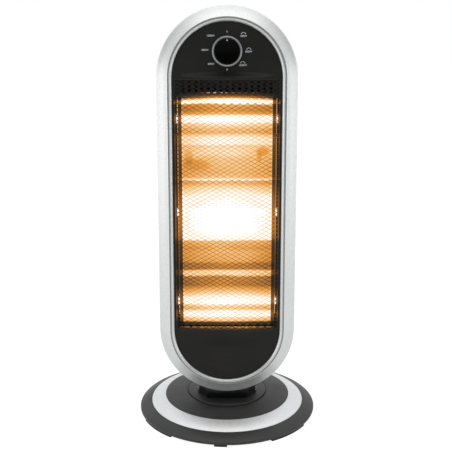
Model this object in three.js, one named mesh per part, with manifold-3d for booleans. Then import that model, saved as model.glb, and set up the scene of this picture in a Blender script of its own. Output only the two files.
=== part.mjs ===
import * as THREE from 'three';
import { mergeVertices } from 'three/addons/utils/BufferGeometryUtils.js';
import Module from 'manifold-3d';

const wasm = await Module();
wasm.setup();

// ---------------------------------------------------------------- driving dimensions, millimetres
// Frame: X to the right, front of the heater towards -Y, Z up, floor at Z = 0.
const FIT = 0.3; // clearance between two neighbouring pieces

// Base dome, radius and height pairs along its sloping top.
const RIM_R = 135;
const RIM_Z = 6.9;
const RIM_BOTTOM = 3;
const RIM_WIDTH = 17.8; // sloping rim outside the silver ring
const RING_WIDTH = 22;
const RING_OUT_R = RIM_R - RIM_WIDTH;
const RING_OUT_Z = 14.6;
const RING_IN_R = RING_OUT_R - RING_WIDTH;
const RING_IN_Z = 23.3;
const TABLE_R = 60.2;
const DOME_TOP_R = TABLE_R + 1.8;
const DOME_TOP_Z = 28;
const COVER_WALL = 3.4;
const RING_T = 1.3;

// Turntable, its bearing and the oscillation drive under it.
const TABLE_Z0 = 27.5;
const TABLE_Z1 = 29.5;
const SEAT_Z = TABLE_Z0 - FIT;
const HUB_R = 10;
const ARM_T = 2;
const ARM_HALF = 8;
const CRANK_OFFSET = 28;
const CRANK_THROW = 16;
const ARM_R = CRANK_OFFSET + CRANK_THROW + ARM_HALF + 1;
const CRANK_R = 19;
const CRANK_TOP = 20.2;
const PIN_R = 2;
const ARM_SLOT_HALF = 3.7;
const MOTOR_R = 25;
const MOTOR_TOP = 16.6;
const EAR = 12; // fixing ears at the motor's sides, as long as they are wide
const EAR_T = 1.5;
const SHAFT_R = 2.5;

// Base plate and what stands on it.
const PLATE_T = 1.3;
const RIM_WALL = 2.6;
const INNER_R = RIM_R - RIM_WALL;
const PLATE_R = INNER_R - FIT;
const FLOOR_Z = RIM_BOTTOM + PLATE_T;
const FOOT_INSET = 0.4;
const FOOT_WIDTH = 15.6;
const FOOT_OUT_R = RIM_R - FOOT_INSET;
const FOOT_IN_R = FOOT_OUT_R - FOOT_WIDTH;
const FOOT_H = RIM_BOTTOM - FIT;
const BOSS_CIRCLE = 64;
const BOSS_GAP = 6;
const BALLAST_GAP = 5.2;
const BALLAST_IN_R = BOSS_CIRCLE + BOSS_GAP;
const BALLAST_OUT_R = RING_OUT_R - BALLAST_GAP;
const BALLAST_TOP = 9;
const TIP_Y = -44;
const PLUNGER_R = 3;

// Head: a stadium (two half circles joined by straight sides), leaning back a little.
const LEAN = THREE.MathUtils.degToRad(3);
const SPINE = 184; // half the straight side of every stadium in the head
const HEAD_R = 100.25;
const HEAD_LIFT = 13.45; // from the turntable up to the foot of the head
const HEAD_Z = TABLE_Z1 + HEAD_LIFT + SPINE + HEAD_R; // height of the middle of the head
const SEAM_Y = -18; // joint between bezel and rear housing
const FACE_OUT_Y = -30.4; // the bezel's sloping face, from its outer edge in
const FACE_WIDTH = 16.65;
const FACE_IN_R = HEAD_R - FACE_WIDTH;
const FACE_IN_Y = -40.8;
const BEZEL_WALL = 2.35;
const GROOVE_DEPTH = 2;
const GROOVE_R = FACE_IN_R - 2.4;
const LIP_WIDTH = 3.6; // raised lip round the panel
const LIP_R = GROOVE_R - LIP_WIDTH;
const PANEL_R = LIP_R - FIT;
const PANEL_FRONT = -39;
const PANEL_T = 2.5;
const PANEL_BACK = PANEL_FRONT + PANEL_T;
const LEDGE_T = 1.8; // ledge that the panel rests on
const LEDGE_R = LIP_R - 3.8;
const HOUSING_WALL = 2.6;
const HOUSING_BACK = 45;
const BOSS_R = 5.2; // screw posts, on an arc inside the head's outline
const BOSS_INSET = 10.3;
const BOSS_ANGLE = Math.PI / 6;
const BOSS_AT = [
  (HEAD_R - BOSS_INSET) * Math.cos(BOSS_ANGLE), SPINE + (HEAD_R - BOSS_INSET) * Math.sin(BOSS_ANGLE),
];

// Finger recess in the back; it reaches up behind its own upper lip.
const GRIP = { x: 46, z0: 188, z1: 218, hook: 12, front: 20, wall: 2.4, lip: 7 };

// Expanded-metal guard, bowed forward between its two straight sides.
const GUARD_MARGIN = 2.3;
const GUARD_HALF = PANEL_R - GUARD_MARGIN;
const GUARD_BOTTOM = -182.6;
const GUARD_TOP = 183.6;
const GUARD_T = 0.8;
const GUARD_BOW = 10;
const MESH_COLUMNS = 5;
const MESH_ROWS = 17;
const STRAND = 1.9;
const GUARD_EDGE = 2.4;

// Openings in the front panel.
const WINDOW_HALF = GUARD_HALF - 2.5;
const WINDOW_TOP = 157.5;
const WINDOW_BOTTOM = -179;
const SLOT_COUNT = 15;
const SLOT_PITCH = 8.8;
const SLOT_HALF = 1.85;
const SLOT_Z0 = 163.2;
const SLOT_Z1 = GUARD_TOP - 0.5;

// Lamps and the sheet metal round them.
const BAR_GAP = 2.9; // lit slit between the side flange and the edge of the window
const BAR_WIDTH = 5.4;
const BAR_OUT = WINDOW_HALF - BAR_GAP;
const REFLECTOR_HALF = BAR_OUT - BAR_WIDTH;
const SHEET = 0.6;
const REFLECTOR_BACK = 14;
const RIDGE_Y = -2;
const FLANGE_Y = -34;
const SIDE_BACK = 18.7;
const LAMP_Z = [124.7, -12, -147.5]; // upper, middle, lower
const LAMP_Y = -10;
const TUBE_R = 5.5;
const TUBE_BORE = 4.4;
const TUBE_HALF = REFLECTOR_HALF + 14.5;
const COIL_R = 2.2;
const COIL_HALF = REFLECTOR_HALF - 0.2;
const COIL_TURNS = 8;
const WIRE_R = 0.5;
const CAP_R = 7.4;
const CAP_IN = TUBE_HALF - 5.8; // ceramic cap, from the length of tube that it holds outwards
const CAP_OUT = TUBE_HALF + 7.7;
const SHIELD_T = 0.8;
const SHIELD_GAP = 1.6;
const SHIELD_HALF = CAP_OUT + SHIELD_GAP;
const SHIELD_Z = [-178, 162];
const RAIL_T = 1;
const RAIL_Y = [-19, 4];
const RAIL_END = 14; // length of a lamp rail past the outer lamps

// Control: rotary switch, shaft and knob.
const KNOB_Z = 220.7;
const KNOB_R = 18;
const KNOB_RING_R = 21.2;
const KNOB_FRONT = -57;
const SPINDLE_R = 3;

// Neck between turntable and head, and the screws.
const NECK_X = 43;
const NECK = [[30, -36], [NECK_X, -15], [NECK_X, 18], [30, 26]];
const POST = { x: 26, y0: -24, y1: 2, top: 36.5 };
const TONGUE = { x: 28, y0: -24, y1: 8, z0: 37.2, z1: 66 };
const NECK_SCREW_Y = -12;
const NECK_SCREW_Z = 33.5;
const SCREW_R = 1.5;
const SCREW_HOLE = SCREW_R + FIT;
const SCREW_HEAD_R = 3.4;

// ---------------------------------------------------------------- finishes
const finish = (color, roughness, metalness) =>
  new THREE.MeshStandardMaterial({ color, roughness, metalness });
const CHARCOAL = finish(0x4a4b4d, 0.55, 0);
const SILVER = finish(0xcfd1d2, 0.34, 0.55);
const SATIN_BLACK = finish(0x1f1f1f, 0.4, 0);
const MATT_BLACK = finish(0x161616, 0.7, 0);
const RUBBER = finish(0x1b1b1b, 0.9, 0);
const STEEL = finish(0xa9abad, 0.38, 0.9);
const POLISHED = finish(0xd9d4c9, 0.12, 1);
const BLACK_WIRE = finish(0x202020, 0.5, 0.6);
const QUARTZ = finish(0xf3ede2, 0.05, 0);
const TUNGSTEN = finish(0xffb45a, 0.5, 0.7);
const CERAMIC = finish(0xe9e5da, 0.6, 0);
const CHROME = finish(0xdadcdd, 0.15, 0.95);
const BAKELITE = finish(0x2a2724, 0.5, 0);

// ---------------------------------------------------------------- solids
const bare = (geometry) => {
  const g = new THREE.BufferGeometry();
  g.setAttribute('position', geometry.getAttribute('position').clone());
  if (geometry.index) g.setIndex(geometry.index.clone());
  return mergeVertices(g, 1e-4);
};

// A closed solid from a closed surface, turned the right way out.
function solid(geometry) {
  const g = bare(geometry);
  const vertProperties = new Float32Array(g.getAttribute('position').array);
  const index = Array.from(g.index.array);
  const faces = [];
  for (let i = 0; i < index.length; i += 3) {
    const [a, b, c] = index.slice(i, i + 3);
    if (a !== b && b !== c && a !== c) faces.push([a, b, c]);
  }
  const at = (i) => new THREE.Vector3().fromArray(vertProperties, 3 * i);
  const volume = faces.reduce((sum, [a, b, c]) => sum + at(a).dot(at(b).cross(at(c))), 0);
  const triVerts = new Uint32Array((volume < 0 ? faces.map(([a, b, c]) => [a, c, b]) : faces).flat());
  return new wasm.Manifold(new wasm.Mesh({ numProp: 3, vertProperties, triVerts }));
}

function surface(manifold) {
  const mesh = manifold.getMesh();
  const g = new THREE.BufferGeometry();
  g.setAttribute('position', new THREE.BufferAttribute(new Float32Array(mesh.vertProperties), 3));
  g.setIndex(new THREE.BufferAttribute(new Uint32Array(mesh.triVerts), 1));
  return g;
}

const join = (first, ...rest) => rest.reduce((sum, one) => sum.add(one), first);
const cut = (first, ...rest) => rest.reduce((left, one) => left.subtract(one), first);

const box = (x0, x1, y0, y1, z0, z1) =>
  solid(new THREE.BoxGeometry(x1 - x0, y1 - y0, z1 - z0)
    .translate((x0 + x1) / 2, (y0 + y1) / 2, (z0 + z1) / 2));

const AXES = { x: ['rotateZ', -Math.PI / 2], y: ['rotateX', 0], z: ['rotateX', Math.PI / 2] };

// A round bar from one station to the other along an axis through a point of the two other axes.
function rod(axis, radius, from, to, at = [0, 0], sides = 12) {
  const g = new THREE.CylinderGeometry(radius, radius, to - from, sides);
  const mid = (from + to) / 2;
  g[AXES[axis][0]](AXES[axis][1]);
  const place = { x: [mid, ...at], y: [at[0], mid, at[1]], z: [...at, mid] }[axis];
  return solid(g.translate(...place));
}

const points = (pairs) => pairs.map(([r, h]) => new THREE.Vector2(r, h));

// A body turned about Z from radius and height pairs; an outline off the axis closes on itself.
function turned(pairs, sides = 36) {
  const closed = pairs[0][0] === 0 ? pairs : [...pairs, pairs[0]];
  return solid(new THREE.LatheGeometry(points(closed), sides).rotateX(Math.PI / 2));
}

// A body turned about the head's own front-to-back axis, then pulled apart along Z into a stadium.
function stadium(pairs, sides = 32) {
  const closed = pairs[0][0] === 0 ? pairs : [...pairs, pairs[0]];
  const g = new THREE.LatheGeometry(points(closed), sides, Math.PI / sides);
  const p = g.getAttribute('position');
  for (let i = 0; i < p.count; i += 1) {
    const z = p.getZ(i);
    if (Math.abs(z) > 1e-3) p.setZ(i, z + Math.sign(z) * SPINE);
  }
  return solid(g);
}

const outline = (pairs) => new THREE.Shape(points(pairs));

// An outline drawn in X and Z, given thickness towards the front from a back plane.
const plate = (shape, thickness, back, curveSegments = 12) =>
  new THREE.ExtrudeGeometry(shape, { depth: thickness, bevelEnabled: false, curveSegments })
    .rotateX(Math.PI / 2).translate(0, back, 0);

// An outline drawn in X and Y, given height.
const slab = (shape, z0, z1, curveSegments = 12) =>
  solid(new THREE.ExtrudeGeometry(shape, { depth: z1 - z0, bevelEnabled: false, curveSegments })
    .translate(0, 0, z0));

// Sheet metal folded along a line of corners; the thickness lies to the left of the line.
function folded(corners, thickness) {
  const line = points(corners);
  const normal = (a, b) => new THREE.Vector2(a.y - b.y, b.x - a.x).normalize();
  const offset = line.map((p, i) => {
    const before = i > 0 ? normal(line[i - 1], p) : normal(p, line[i + 1]);
    const after = i < line.length - 1 ? normal(p, line[i + 1]) : before;
    const miter = before.clone().add(after).normalize();
    return p.clone().addScaledVector(miter, thickness / miter.dot(before));
  });
  return new THREE.Shape([...line, ...offset.reverse()]);
}

// A screw along an axis: head first, then a shank the other way.
function screw(axis, seat, dir, at, length, headHeight = 2.2) {
  const ends = (a, b) => [Math.min(a, b), Math.max(a, b)];
  return join(
    rod(axis, SCREW_HEAD_R, ...ends(seat, seat - dir * headHeight), at, 12),
    rod(axis, SCREW_R, ...ends(seat - dir * 0.4, seat + dir * length), at, 8),
  );
}

const mirrored = (manifold) => manifold.mirror([1, 0, 0]);

// ---------------------------------------------------------------- assembly
const heater = new THREE.Group();
heater.name = 'halogen_heater';
const head = new THREE.Group();
head.name = 'head_frame';
head.position.z = HEAD_Z;
head.rotation.x = -LEAN;
heater.add(head);
head.updateMatrixWorld(true);

function put(parent, name, body, material) {
  const geometry = body.isBufferGeometry ? body : surface(body);
  const mesh = new THREE.Mesh(geometry, material);
  mesh.name = name;
  parent.add(mesh);
}

// ---------------------------------------------------------------- base
const slopeZ = (r) => RING_OUT_Z + (RING_IN_Z - RING_OUT_Z) * (RING_OUT_R - r) / (RING_OUT_R - RING_IN_R);
const RECESS = RING_T + FIT;

const gland = { z: 8.7, r: 3.9, y0: RIM_R - 22, y1: RIM_R - 0.5 };
const bossSpots = [45, 135, 225, 315].map((deg) => {
  const a = THREE.MathUtils.degToRad(deg);
  return [BOSS_CIRCLE * Math.cos(a), BOSS_CIRCLE * Math.sin(a)];
});

// The dome eases into its flat top on a quarter of a sine between ring and turntable.
const crown = [1, 2].map((i) => {
  const run = i / 3;
  return [
    RING_IN_R + (DOME_TOP_R - RING_IN_R) * run,
    RING_IN_Z + (DOME_TOP_Z - RING_IN_Z) * Math.sin((Math.PI / 2) * run),
  ];
});
const coverShell = turned([
  [INNER_R, RIM_BOTTOM], [RIM_R, RIM_BOTTOM], [RIM_R, RIM_Z - 0.8], [RIM_R - 1, RIM_Z],
  [RING_OUT_R, RING_OUT_Z], [RING_OUT_R, RING_OUT_Z - RECESS], [RING_IN_R, RING_IN_Z - RECESS],
  [RING_IN_R, RING_IN_Z], ...crown, [DOME_TOP_R, DOME_TOP_Z], [TABLE_R + 2 * FIT, SEAT_Z],
  [HUB_R + FIT, SEAT_Z], [HUB_R + FIT, SEAT_Z - COVER_WALL + 0.6], [DOME_TOP_R, SEAT_Z - COVER_WALL + 0.6],
  [RING_IN_R, RING_IN_Z - COVER_WALL], [RING_OUT_R, RING_OUT_Z - COVER_WALL], [INNER_R, FLOOR_Z + FIT],
]);
const bosses = bossSpots.map((at) => rod('z', 4.5, FLOOR_Z + FIT, SEAT_Z - 1, at, 10));
const cover = cut(
  join(coverShell, ...bosses),
  ...bossSpots.map((at) => rod('z', SCREW_HOLE, FLOOR_Z, 16, at, 8)),
  rod('y', gland.r + FIT, gland.y0 - 5, RIM_R + 2, [0, gland.z]),
);
put(heater, 'base_cover', cover, CHARCOAL);

put(heater, 'base_ring', turned([
  [RING_OUT_R - FIT, slopeZ(RING_OUT_R - FIT) + 0.1], [RING_IN_R + FIT, slopeZ(RING_IN_R + FIT) + 0.1],
  [RING_IN_R + FIT, slopeZ(RING_IN_R + FIT) - RING_T], [RING_OUT_R - FIT, slopeZ(RING_OUT_R - FIT) - RING_T],
]), SILVER);

const earSpots = [[MOTOR_R + EAR / 2, CRANK_OFFSET], [-MOTOR_R - EAR / 2, CRANK_OFFSET]];
const basePlate = cut(
  rod('z', PLATE_R, RIM_BOTTOM, FLOOR_Z, [0, 0], 36),
  ...[...bossSpots, ...earSpots].map((at) => rod('z', SCREW_HOLE, 0, 9, at, 8)),
  rod('z', PLUNGER_R + 0.4, 0, 9, [0, TIP_Y]),
);
put(heater, 'base_plate', basePlate, STEEL);

put(heater, 'ballast_ring', turned([
  [BALLAST_IN_R, FLOOR_Z + FIT], [BALLAST_OUT_R, FLOOR_Z + FIT], [BALLAST_OUT_R, BALLAST_TOP],
  [BALLAST_IN_R, BALLAST_TOP],
], 30), STEEL);

// Rubber feet: pieces of one ring, angles measured from the front, positive to the right.
function foot(fromDeg, toDeg) {
  const angle = (deg) => THREE.MathUtils.degToRad(deg - 90);
  const shape = new THREE.Shape();
  shape.absarc(0, 0, FOOT_OUT_R, angle(fromDeg), angle(toDeg), false);
  shape.absarc(0, 0, FOOT_IN_R, angle(toDeg), angle(fromDeg), true);
  return slab(shape, 0, FOOT_H, 4);
}
const FEET = {
  foot_front: [-8, 0], foot_front_left: [-67, -38], foot_front_right: [29, 59],
  foot_rear_right: [118, 146], foot_rear_left: [-146, -118],
};
Object.entries(FEET).forEach(([name, [from, to]]) => put(heater, name, foot(from, to), RUBBER));

bossSpots.forEach((at, i) =>
  put(heater, `base_screw_${i + 1}`, screw('z', RIM_BOTTOM - FIT, 1, at, 11.5, 1.8), STEEL));

const motor = join(
  rod('z', MOTOR_R, FLOOR_Z + FIT, MOTOR_TOP, [0, CRANK_OFFSET], 28),
  box(-MOTOR_R - EAR + 1, MOTOR_R + EAR - 1, CRANK_OFFSET - EAR / 2, CRANK_OFFSET + EAR / 2,
    FLOOR_Z + FIT, FLOOR_Z + FIT + EAR_T),
  rod('z', SHAFT_R, MOTOR_TOP - 1, CRANK_TOP - 0.2, [0, CRANK_OFFSET]),
);
const earHoles = earSpots.map((at) => rod('z', SCREW_HOLE, 0, 9, at, 8));
put(heater, 'oscillation_motor', cut(motor, ...earHoles), STEEL);
earSpots.forEach((at, i) =>
  put(heater, `motor_screw_${i + 1}`, screw('z', FLOOR_Z + 2 * FIT + EAR_T, -1, at, 2.8, 2), STEEL));

const tipBody = cut(
  box(-12, 12, TIP_Y - 9, TIP_Y + 9, FLOOR_Z + FIT, 20),
  rod('z', PLUNGER_R + FIT, 0, 15.5, [0, TIP_Y]),
);
put(heater, 'tip_switch', tipBody, BAKELITE);
const plunger = join(
  rod('z', PLUNGER_R, 0.4, 12, [0, TIP_Y]),
  rod('z', 5, 0, 2, [0, TIP_Y]),
);
put(heater, 'tip_plunger', plunger, RUBBER);

put(heater, 'terminal_block', cut(
  box(-54, -38, -24, 6, FLOOR_Z + FIT, 15),
  ...[-19, -9, 1].map((y) => rod('z', 2.2, 11, 16, [-46, y], 8)),
), CERAMIC);

put(heater, 'cord_gland', cut(
  rod('y', gland.r, gland.y0, gland.y1, [0, gland.z]),
  rod('y', 2.8, gland.y0 - 1, gland.y1 + 1, [0, gland.z]),
), RUBBER);

// ---------------------------------------------------------------- oscillation drive
const armTop = SEAT_Z - COVER_WALL + 0.6 - FIT;
const crank = cut(
  join(
    rod('z', CRANK_R, MOTOR_TOP + 2 * FIT, CRANK_TOP, [0, CRANK_OFFSET], 28),
    rod('z', PIN_R, CRANK_TOP - 0.6, armTop - FIT, [0, CRANK_OFFSET + CRANK_THROW]),
  ),
  rod('z', SHAFT_R + FIT, 0, 30, [0, CRANK_OFFSET]),
);
put(heater, 'crank_disc', crank, CERAMIC);

const armShape = new THREE.Shape();
armShape.moveTo(ARM_HALF, 0);
armShape.lineTo(ARM_HALF, ARM_R - ARM_HALF);
armShape.absarc(0, ARM_R - ARM_HALF, ARM_HALF, 0, Math.PI, false);
armShape.lineTo(-ARM_HALF, 0);
const slotPath = new THREE.Path();
const slotEnds = [CRANK_OFFSET - 0.6, CRANK_OFFSET + CRANK_THROW + 0.4];
slotPath.absarc(0, slotEnds[0], ARM_SLOT_HALF, Math.PI, 2 * Math.PI, false);
slotPath.absarc(0, slotEnds[1], ARM_SLOT_HALF, 0, Math.PI, false);
armShape.holes.push(slotPath);
const arm = cut(
  join(slab(armShape, armTop - ARM_T, armTop, 6), rod('z', 14, armTop - ARM_T, armTop, [0, 0], 24)),
  rod('z', 2.8, 0, 40, [0, 0]),
);
put(heater, 'drive_arm', arm, STEEL);

const hubScrew = join(
  rod('z', 5.5, armTop - ARM_T - FIT - 1.8, armTop - ARM_T - FIT),
  rod('z', 2.5, armTop - ARM_T - FIT - 0.4, TABLE_Z1 - 1),
);
put(heater, 'hub_screw', hubScrew, STEEL);

// ---------------------------------------------------------------- turntable and neck
const screwBore = (x0, x1) => rod('x', SCREW_HOLE, x0, x1, [NECK_SCREW_Y, NECK_SCREW_Z], 8);
const turntable = cut(
  join(
    turned([[0, TABLE_Z0], [TABLE_R, TABLE_Z0], [TABLE_R, TABLE_Z1 - 0.7], [TABLE_R - 0.9, TABLE_Z1],
      [0, TABLE_Z1]]),
    rod('z', HUB_R, armTop + FIT, TABLE_Z0 + 0.5, [0, 0], 24),
    box(-POST.x, POST.x, POST.y0, POST.y1, TABLE_Z1 - 0.5, POST.top),
  ),
  rod('z', 2.8, 0, TABLE_Z1 - 1 + FIT),
  screwBore(-60, -18), screwBore(18, 60),
);
put(heater, 'turntable', turntable, SATIN_BLACK);

// Outer form of the whole head with a clearance round it, used to saddle the neck.
const SIDE_RUN = 10; // straight part of the housing's side behind the seam
const BACK_SPAN = HOUSING_BACK - SEAM_Y - SIDE_RUN;
const CROWN_WIDTH = 60.25; // from the side in to the flat of the back
const HOUSING_PROFILE = [
  [HEAD_R, SEAM_Y + FIT],
  // the side turns into the back on a superellipse
  ...Array.from({ length: 8 }, (_, i) => {
    const a = (Math.PI / 2) * (i / 7);
    return [
      HEAD_R - CROWN_WIDTH * (1 - Math.cos(a) ** 0.6),
      SEAM_Y + SIDE_RUN + BACK_SPAN * Math.sin(a),
    ];
  }),
];
const leaned = (manifold) => manifold.transform(Array.from(head.matrixWorld.elements));
const envelope = leaned(stadium([
  [0, FACE_IN_Y], [FACE_IN_R, FACE_IN_Y], [HEAD_R + FIT, FACE_OUT_Y],
  ...HOUSING_PROFILE.map(([r, y]) => [r + FIT, y + FIT]), [0, HOUSING_BACK + FIT],
], 72));
const neckPlan = outline([...NECK, ...NECK.map(([x, y]) => [-x, y]).reverse()]);
const tongue = (gap) => box(-TONGUE.x - gap, TONGUE.x + gap, TONGUE.y0 - gap, TONGUE.y1 + gap,
  TONGUE.z0, TONGUE.z1 + gap);
const neck = cut(
  join(cut(slab(neckPlan, TABLE_Z1 + FIT, 58), envelope), tongue(0)),
  box(-POST.x - FIT, POST.x + FIT, POST.y0 - FIT, POST.y1 + FIT, 20, POST.top + FIT),
  screwBore(-60, -18), screwBore(18, 60),
);
put(heater, 'neck', neck, MATT_BLACK);
const neckScrewLength = NECK_X - POST.x + 6;
[['right', 1], ['left', -1]].forEach(([name, dir]) => put(heater, `neck_screw_${name}`,
  screw('x', dir * (NECK_X + FIT), -dir, [NECK_SCREW_Y, NECK_SCREW_Z], neckScrewLength), STEEL));

// ---------------------------------------------------------------- front of the head
const cornerSpots = [[1, 1], [-1, 1], [-1, -1], [1, -1]].map(([sx, sz]) => [sx * BOSS_AT[0], sz * BOSS_AT[1]]);
const lipFront = FACE_IN_Y - 1.5;
const bezelRing = stadium([
  [HEAD_R, SEAM_Y], [HEAD_R, FACE_OUT_Y + 1.2], [HEAD_R - 0.6, FACE_OUT_Y], [FACE_IN_R + 0.9, FACE_IN_Y + 0.2],
  [FACE_IN_R, FACE_IN_Y], [FACE_IN_R - 0.2, FACE_IN_Y + GROOVE_DEPTH], [GROOVE_R, FACE_IN_Y + GROOVE_DEPTH],
  [GROOVE_R - 0.2, lipFront + 0.5], [GROOVE_R - 1, lipFront], [LIP_R + 0.7, lipFront + 0.9],
  [LIP_R, lipFront + 1.7], [LIP_R, PANEL_BACK + FIT], [LEDGE_R, PANEL_BACK + FIT],
  [LEDGE_R, PANEL_BACK + FIT + LEDGE_T], [LIP_R + 2.8, PANEL_BACK + FIT + LEDGE_T], [FACE_IN_R + 1, FACE_IN_Y + 3.6],
  [HEAD_R - BEZEL_WALL, FACE_OUT_Y + 1.8], [HEAD_R - BEZEL_WALL, SEAM_Y],
], 40);
const bezel = cut(
  join(bezelRing, ...cornerSpots.map((at) => rod('y', BOSS_R, -33, SEAM_Y, at, 10))),
  ...cornerSpots.map((at) => rod('y', SCREW_HOLE, -28.5, 0, at, 8)),
);
put(head, 'front_bezel', bezel, SILVER);

const bowRadius = (GUARD_HALF ** 2 + GUARD_BOW ** 2) / (2 * GUARD_BOW);
const bow = (x) => Math.max(0, Math.sqrt(bowRadius ** 2 - x * x) - bowRadius + GUARD_BOW);

const panelShape = new THREE.Shape();
panelShape.moveTo(PANEL_R, -SPINE);
panelShape.absarc(0, SPINE, PANEL_R, 0, Math.PI, false);
panelShape.absarc(0, -SPINE, PANEL_R, Math.PI, 2 * Math.PI, false);
const through = (x0, x1, z0, z1) => box(x0, x1, -60, -20, z0, z1);
const ventSlots = Array.from({ length: SLOT_COUNT }, (_, i) => {
  const x = (i - (SLOT_COUNT - 1) / 2) * SLOT_PITCH;
  return through(x - SLOT_HALF, x + SLOT_HALF, SLOT_Z0, SLOT_Z1);
});
// Swelling of the panel that meets the bowed end of the guard and runs out flush.
function swelling(zFull, zFlush) {
  const height = Math.abs(zFull - zFlush);
  const g = new THREE.BoxGeometry(2 * GUARD_HALF, 2, height, 12, 1, 4)
    .translate(0, PANEL_FRONT + 0.95, (zFull + zFlush) / 2);
  const p = g.getAttribute('position');
  for (let i = 0; i < p.count; i += 1) {
    if (p.getY(i) < PANEL_FRONT) {
      const run = Math.abs(p.getZ(i) - zFlush) / height;
      p.setY(i, p.getY(i) - bow(p.getX(i)) * (0.5 - 0.5 * Math.cos(Math.PI * run)));
    }
  }
  return solid(g);
}
const panelColumn = solid(plate(panelShape, PANEL_T + 2 * GUARD_BOW, PANEL_BACK, 16));
const panel = cut(
  join(
    solid(plate(panelShape, PANEL_T, PANEL_BACK, 16)),
    swelling(GUARD_BOTTOM - FIT, GUARD_BOTTOM - 36).intersect(panelColumn),
    swelling(GUARD_TOP + FIT, GUARD_TOP + 9),
  ),
  through(-WINDOW_HALF, WINDOW_HALF, WINDOW_BOTTOM, WINDOW_TOP), ...ventSlots,
  rod('y', SPINDLE_R + 0.5, -50, -30, [0, KNOB_Z]),
);
put(head, 'front_panel', panel, SATIN_BLACK);

// Guard: a sheet bowed forward in plan, slit and drawn into diamonds in staggered rows.
function guard() {
  const pitchX = (2 * GUARD_HALF - 2 * GUARD_EDGE) / MESH_COLUMNS;
  const pitchZ = (GUARD_TOP - GUARD_BOTTOM - 2 * GUARD_EDGE) / MESH_ROWS;
  const stations = [-GUARD_HALF];
  for (let i = 0; i <= 2 * MESH_COLUMNS; i += 1) stations.push(-GUARD_HALF + GUARD_EDGE + (i * pitchX) / 2);
  stations.push(GUARD_HALF);
  const rear = stations.map((x) => [x, PANEL_FRONT - FIT - bow(x)]);
  const front = stations.map((x) => [x, PANEL_FRONT - FIT - GUARD_T - bow(x)]);
  const sheet = slab(outline([...front, ...rear.reverse()]), GUARD_BOTTOM, GUARD_TOP);
  const halfX = pitchX / 2 - STRAND;
  const halfZ = pitchZ / 2 - STRAND / 2;
  const diamonds = [];
  for (let row = 0; row < 2 * MESH_ROWS - 1; row += 1) {
    const offset = row % 2;
    const z = GUARD_BOTTOM + GUARD_EDGE + pitchZ * (0.5 + row / 2);
    for (let column = 0; column < MESH_COLUMNS - offset; column += 1) {
      const x = -GUARD_HALF + GUARD_EDGE + pitchX * (0.5 + column + offset / 2);
      diamonds.push(outline([[x + halfX, z], [x, z + halfZ], [x - halfX, z], [x, z - halfZ]]));
    }
  }
  return cut(sheet, solid(plate(diamonds, 2 * GUARD_BOW, PANEL_FRONT + 5)));
}
put(head, 'guard_mesh', guard(), BLACK_WIRE);

// ---------------------------------------------------------------- rear housing
const inner = HOUSING_PROFILE.map(([r, y]) => [r - HOUSING_WALL, y > 0 ? y - HOUSING_WALL * 0.7 : y]);
inner[inner.length - 1] = [HEAD_R - CROWN_WIDTH, HOUSING_BACK - HOUSING_WALL];
const housingSkin = stadium([
  [0, HOUSING_BACK], ...[...HOUSING_PROFILE].reverse(), ...inner, [0, HOUSING_BACK - HOUSING_WALL],
]);
const filled = stadium([[0, SEAM_Y + FIT], ...HOUSING_PROFILE, [0, HOUSING_BACK]]);
const shieldBack = SIDE_BACK + FIT + SHIELD_T;
const pillars = [[50, 90], [-50, 90], [-50, -110], [50, -110]]
  .map((at) => rod('y', 4, shieldBack + FIT, HOUSING_BACK - 1, at, 8));
const screwPosts = cornerSpots.map((at) => rod('y', BOSS_R, SEAM_Y + FIT, HOUSING_BACK, at, 10));
// Grip cup: a tray clipped behind an opening of the back, with room for finger tips above the opening.
const room = stadium([
  [0, SEAM_Y + FIT], ...inner.map(([r, y]) => [r - FIT, y > 0 ? y - FIT : y]), [0, HOUSING_BACK - HOUSING_WALL - FIT],
]);
const gripOpening = box(-GRIP.x, GRIP.x, GRIP.front, HOUSING_BACK + 5, GRIP.z0, GRIP.z1);
const gripCup = cut(
  box(-GRIP.x - GRIP.wall, GRIP.x + GRIP.wall, GRIP.front - GRIP.wall, HOUSING_BACK,
    GRIP.z0 - GRIP.wall, GRIP.z1 + GRIP.hook + GRIP.wall).intersect(room),
  gripOpening,
  box(-GRIP.x, GRIP.x, GRIP.front, HOUSING_BACK - GRIP.lip, GRIP.z0, GRIP.z1 + GRIP.hook),
);
const louvres = [];
for (let row = 0; row < 6; row += 1) {
  for (const side of [-1, 1]) {
    for (const start of [56, -140]) {
      const z = start + row * 13;
      const xs = [side * 5, side * 42].sort((a, b) => a - b);
      louvres.push(box(xs[0], xs[1], HOUSING_BACK - 8, HOUSING_BACK + 3, z, z + 5));
    }
  }
}
const back = join(
  housingSkin,
  ...[...screwPosts, ...pillars].map((one) => one.intersect(filled)),
);
const unlean = Array.from(head.matrixWorld.clone().invert().elements);
const housing = cut(
  back, gripOpening, ...louvres, tongue(FIT).transform(unlean),
  ...cornerSpots.map((at) => rod('y', SCREW_HOLE, -40, 20, at, 8)),
  ...cornerSpots.map((at) => rod('y', SCREW_HEAD_R + FIT, 5, HOUSING_BACK + 5, at, 10)),
);
put(head, 'rear_housing', housing, SATIN_BLACK);
put(head, 'grip_cup', gripCup, SATIN_BLACK);
cornerSpots.forEach((at, i) =>
  put(head, `housing_screw_${i + 1}`, screw('y', 5 + FIT, -1, at, 33), STEEL));

// ---------------------------------------------------------------- lamps and sheet metal
const folds = [[FLANGE_Y, 161], [FLANGE_Y, 156], [REFLECTOR_BACK, 147], [REFLECTOR_BACK, 102], [RIDGE_Y, 79],
  [RIDGE_Y, 33], [REFLECTOR_BACK, 10], [REFLECTOR_BACK, -34], [RIDGE_Y, -57], [RIDGE_Y, -103],
  [REFLECTOR_BACK, -125], [REFLECTOR_BACK, -168], [FLANGE_Y, -173], [FLANGE_Y, -178]];
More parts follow.
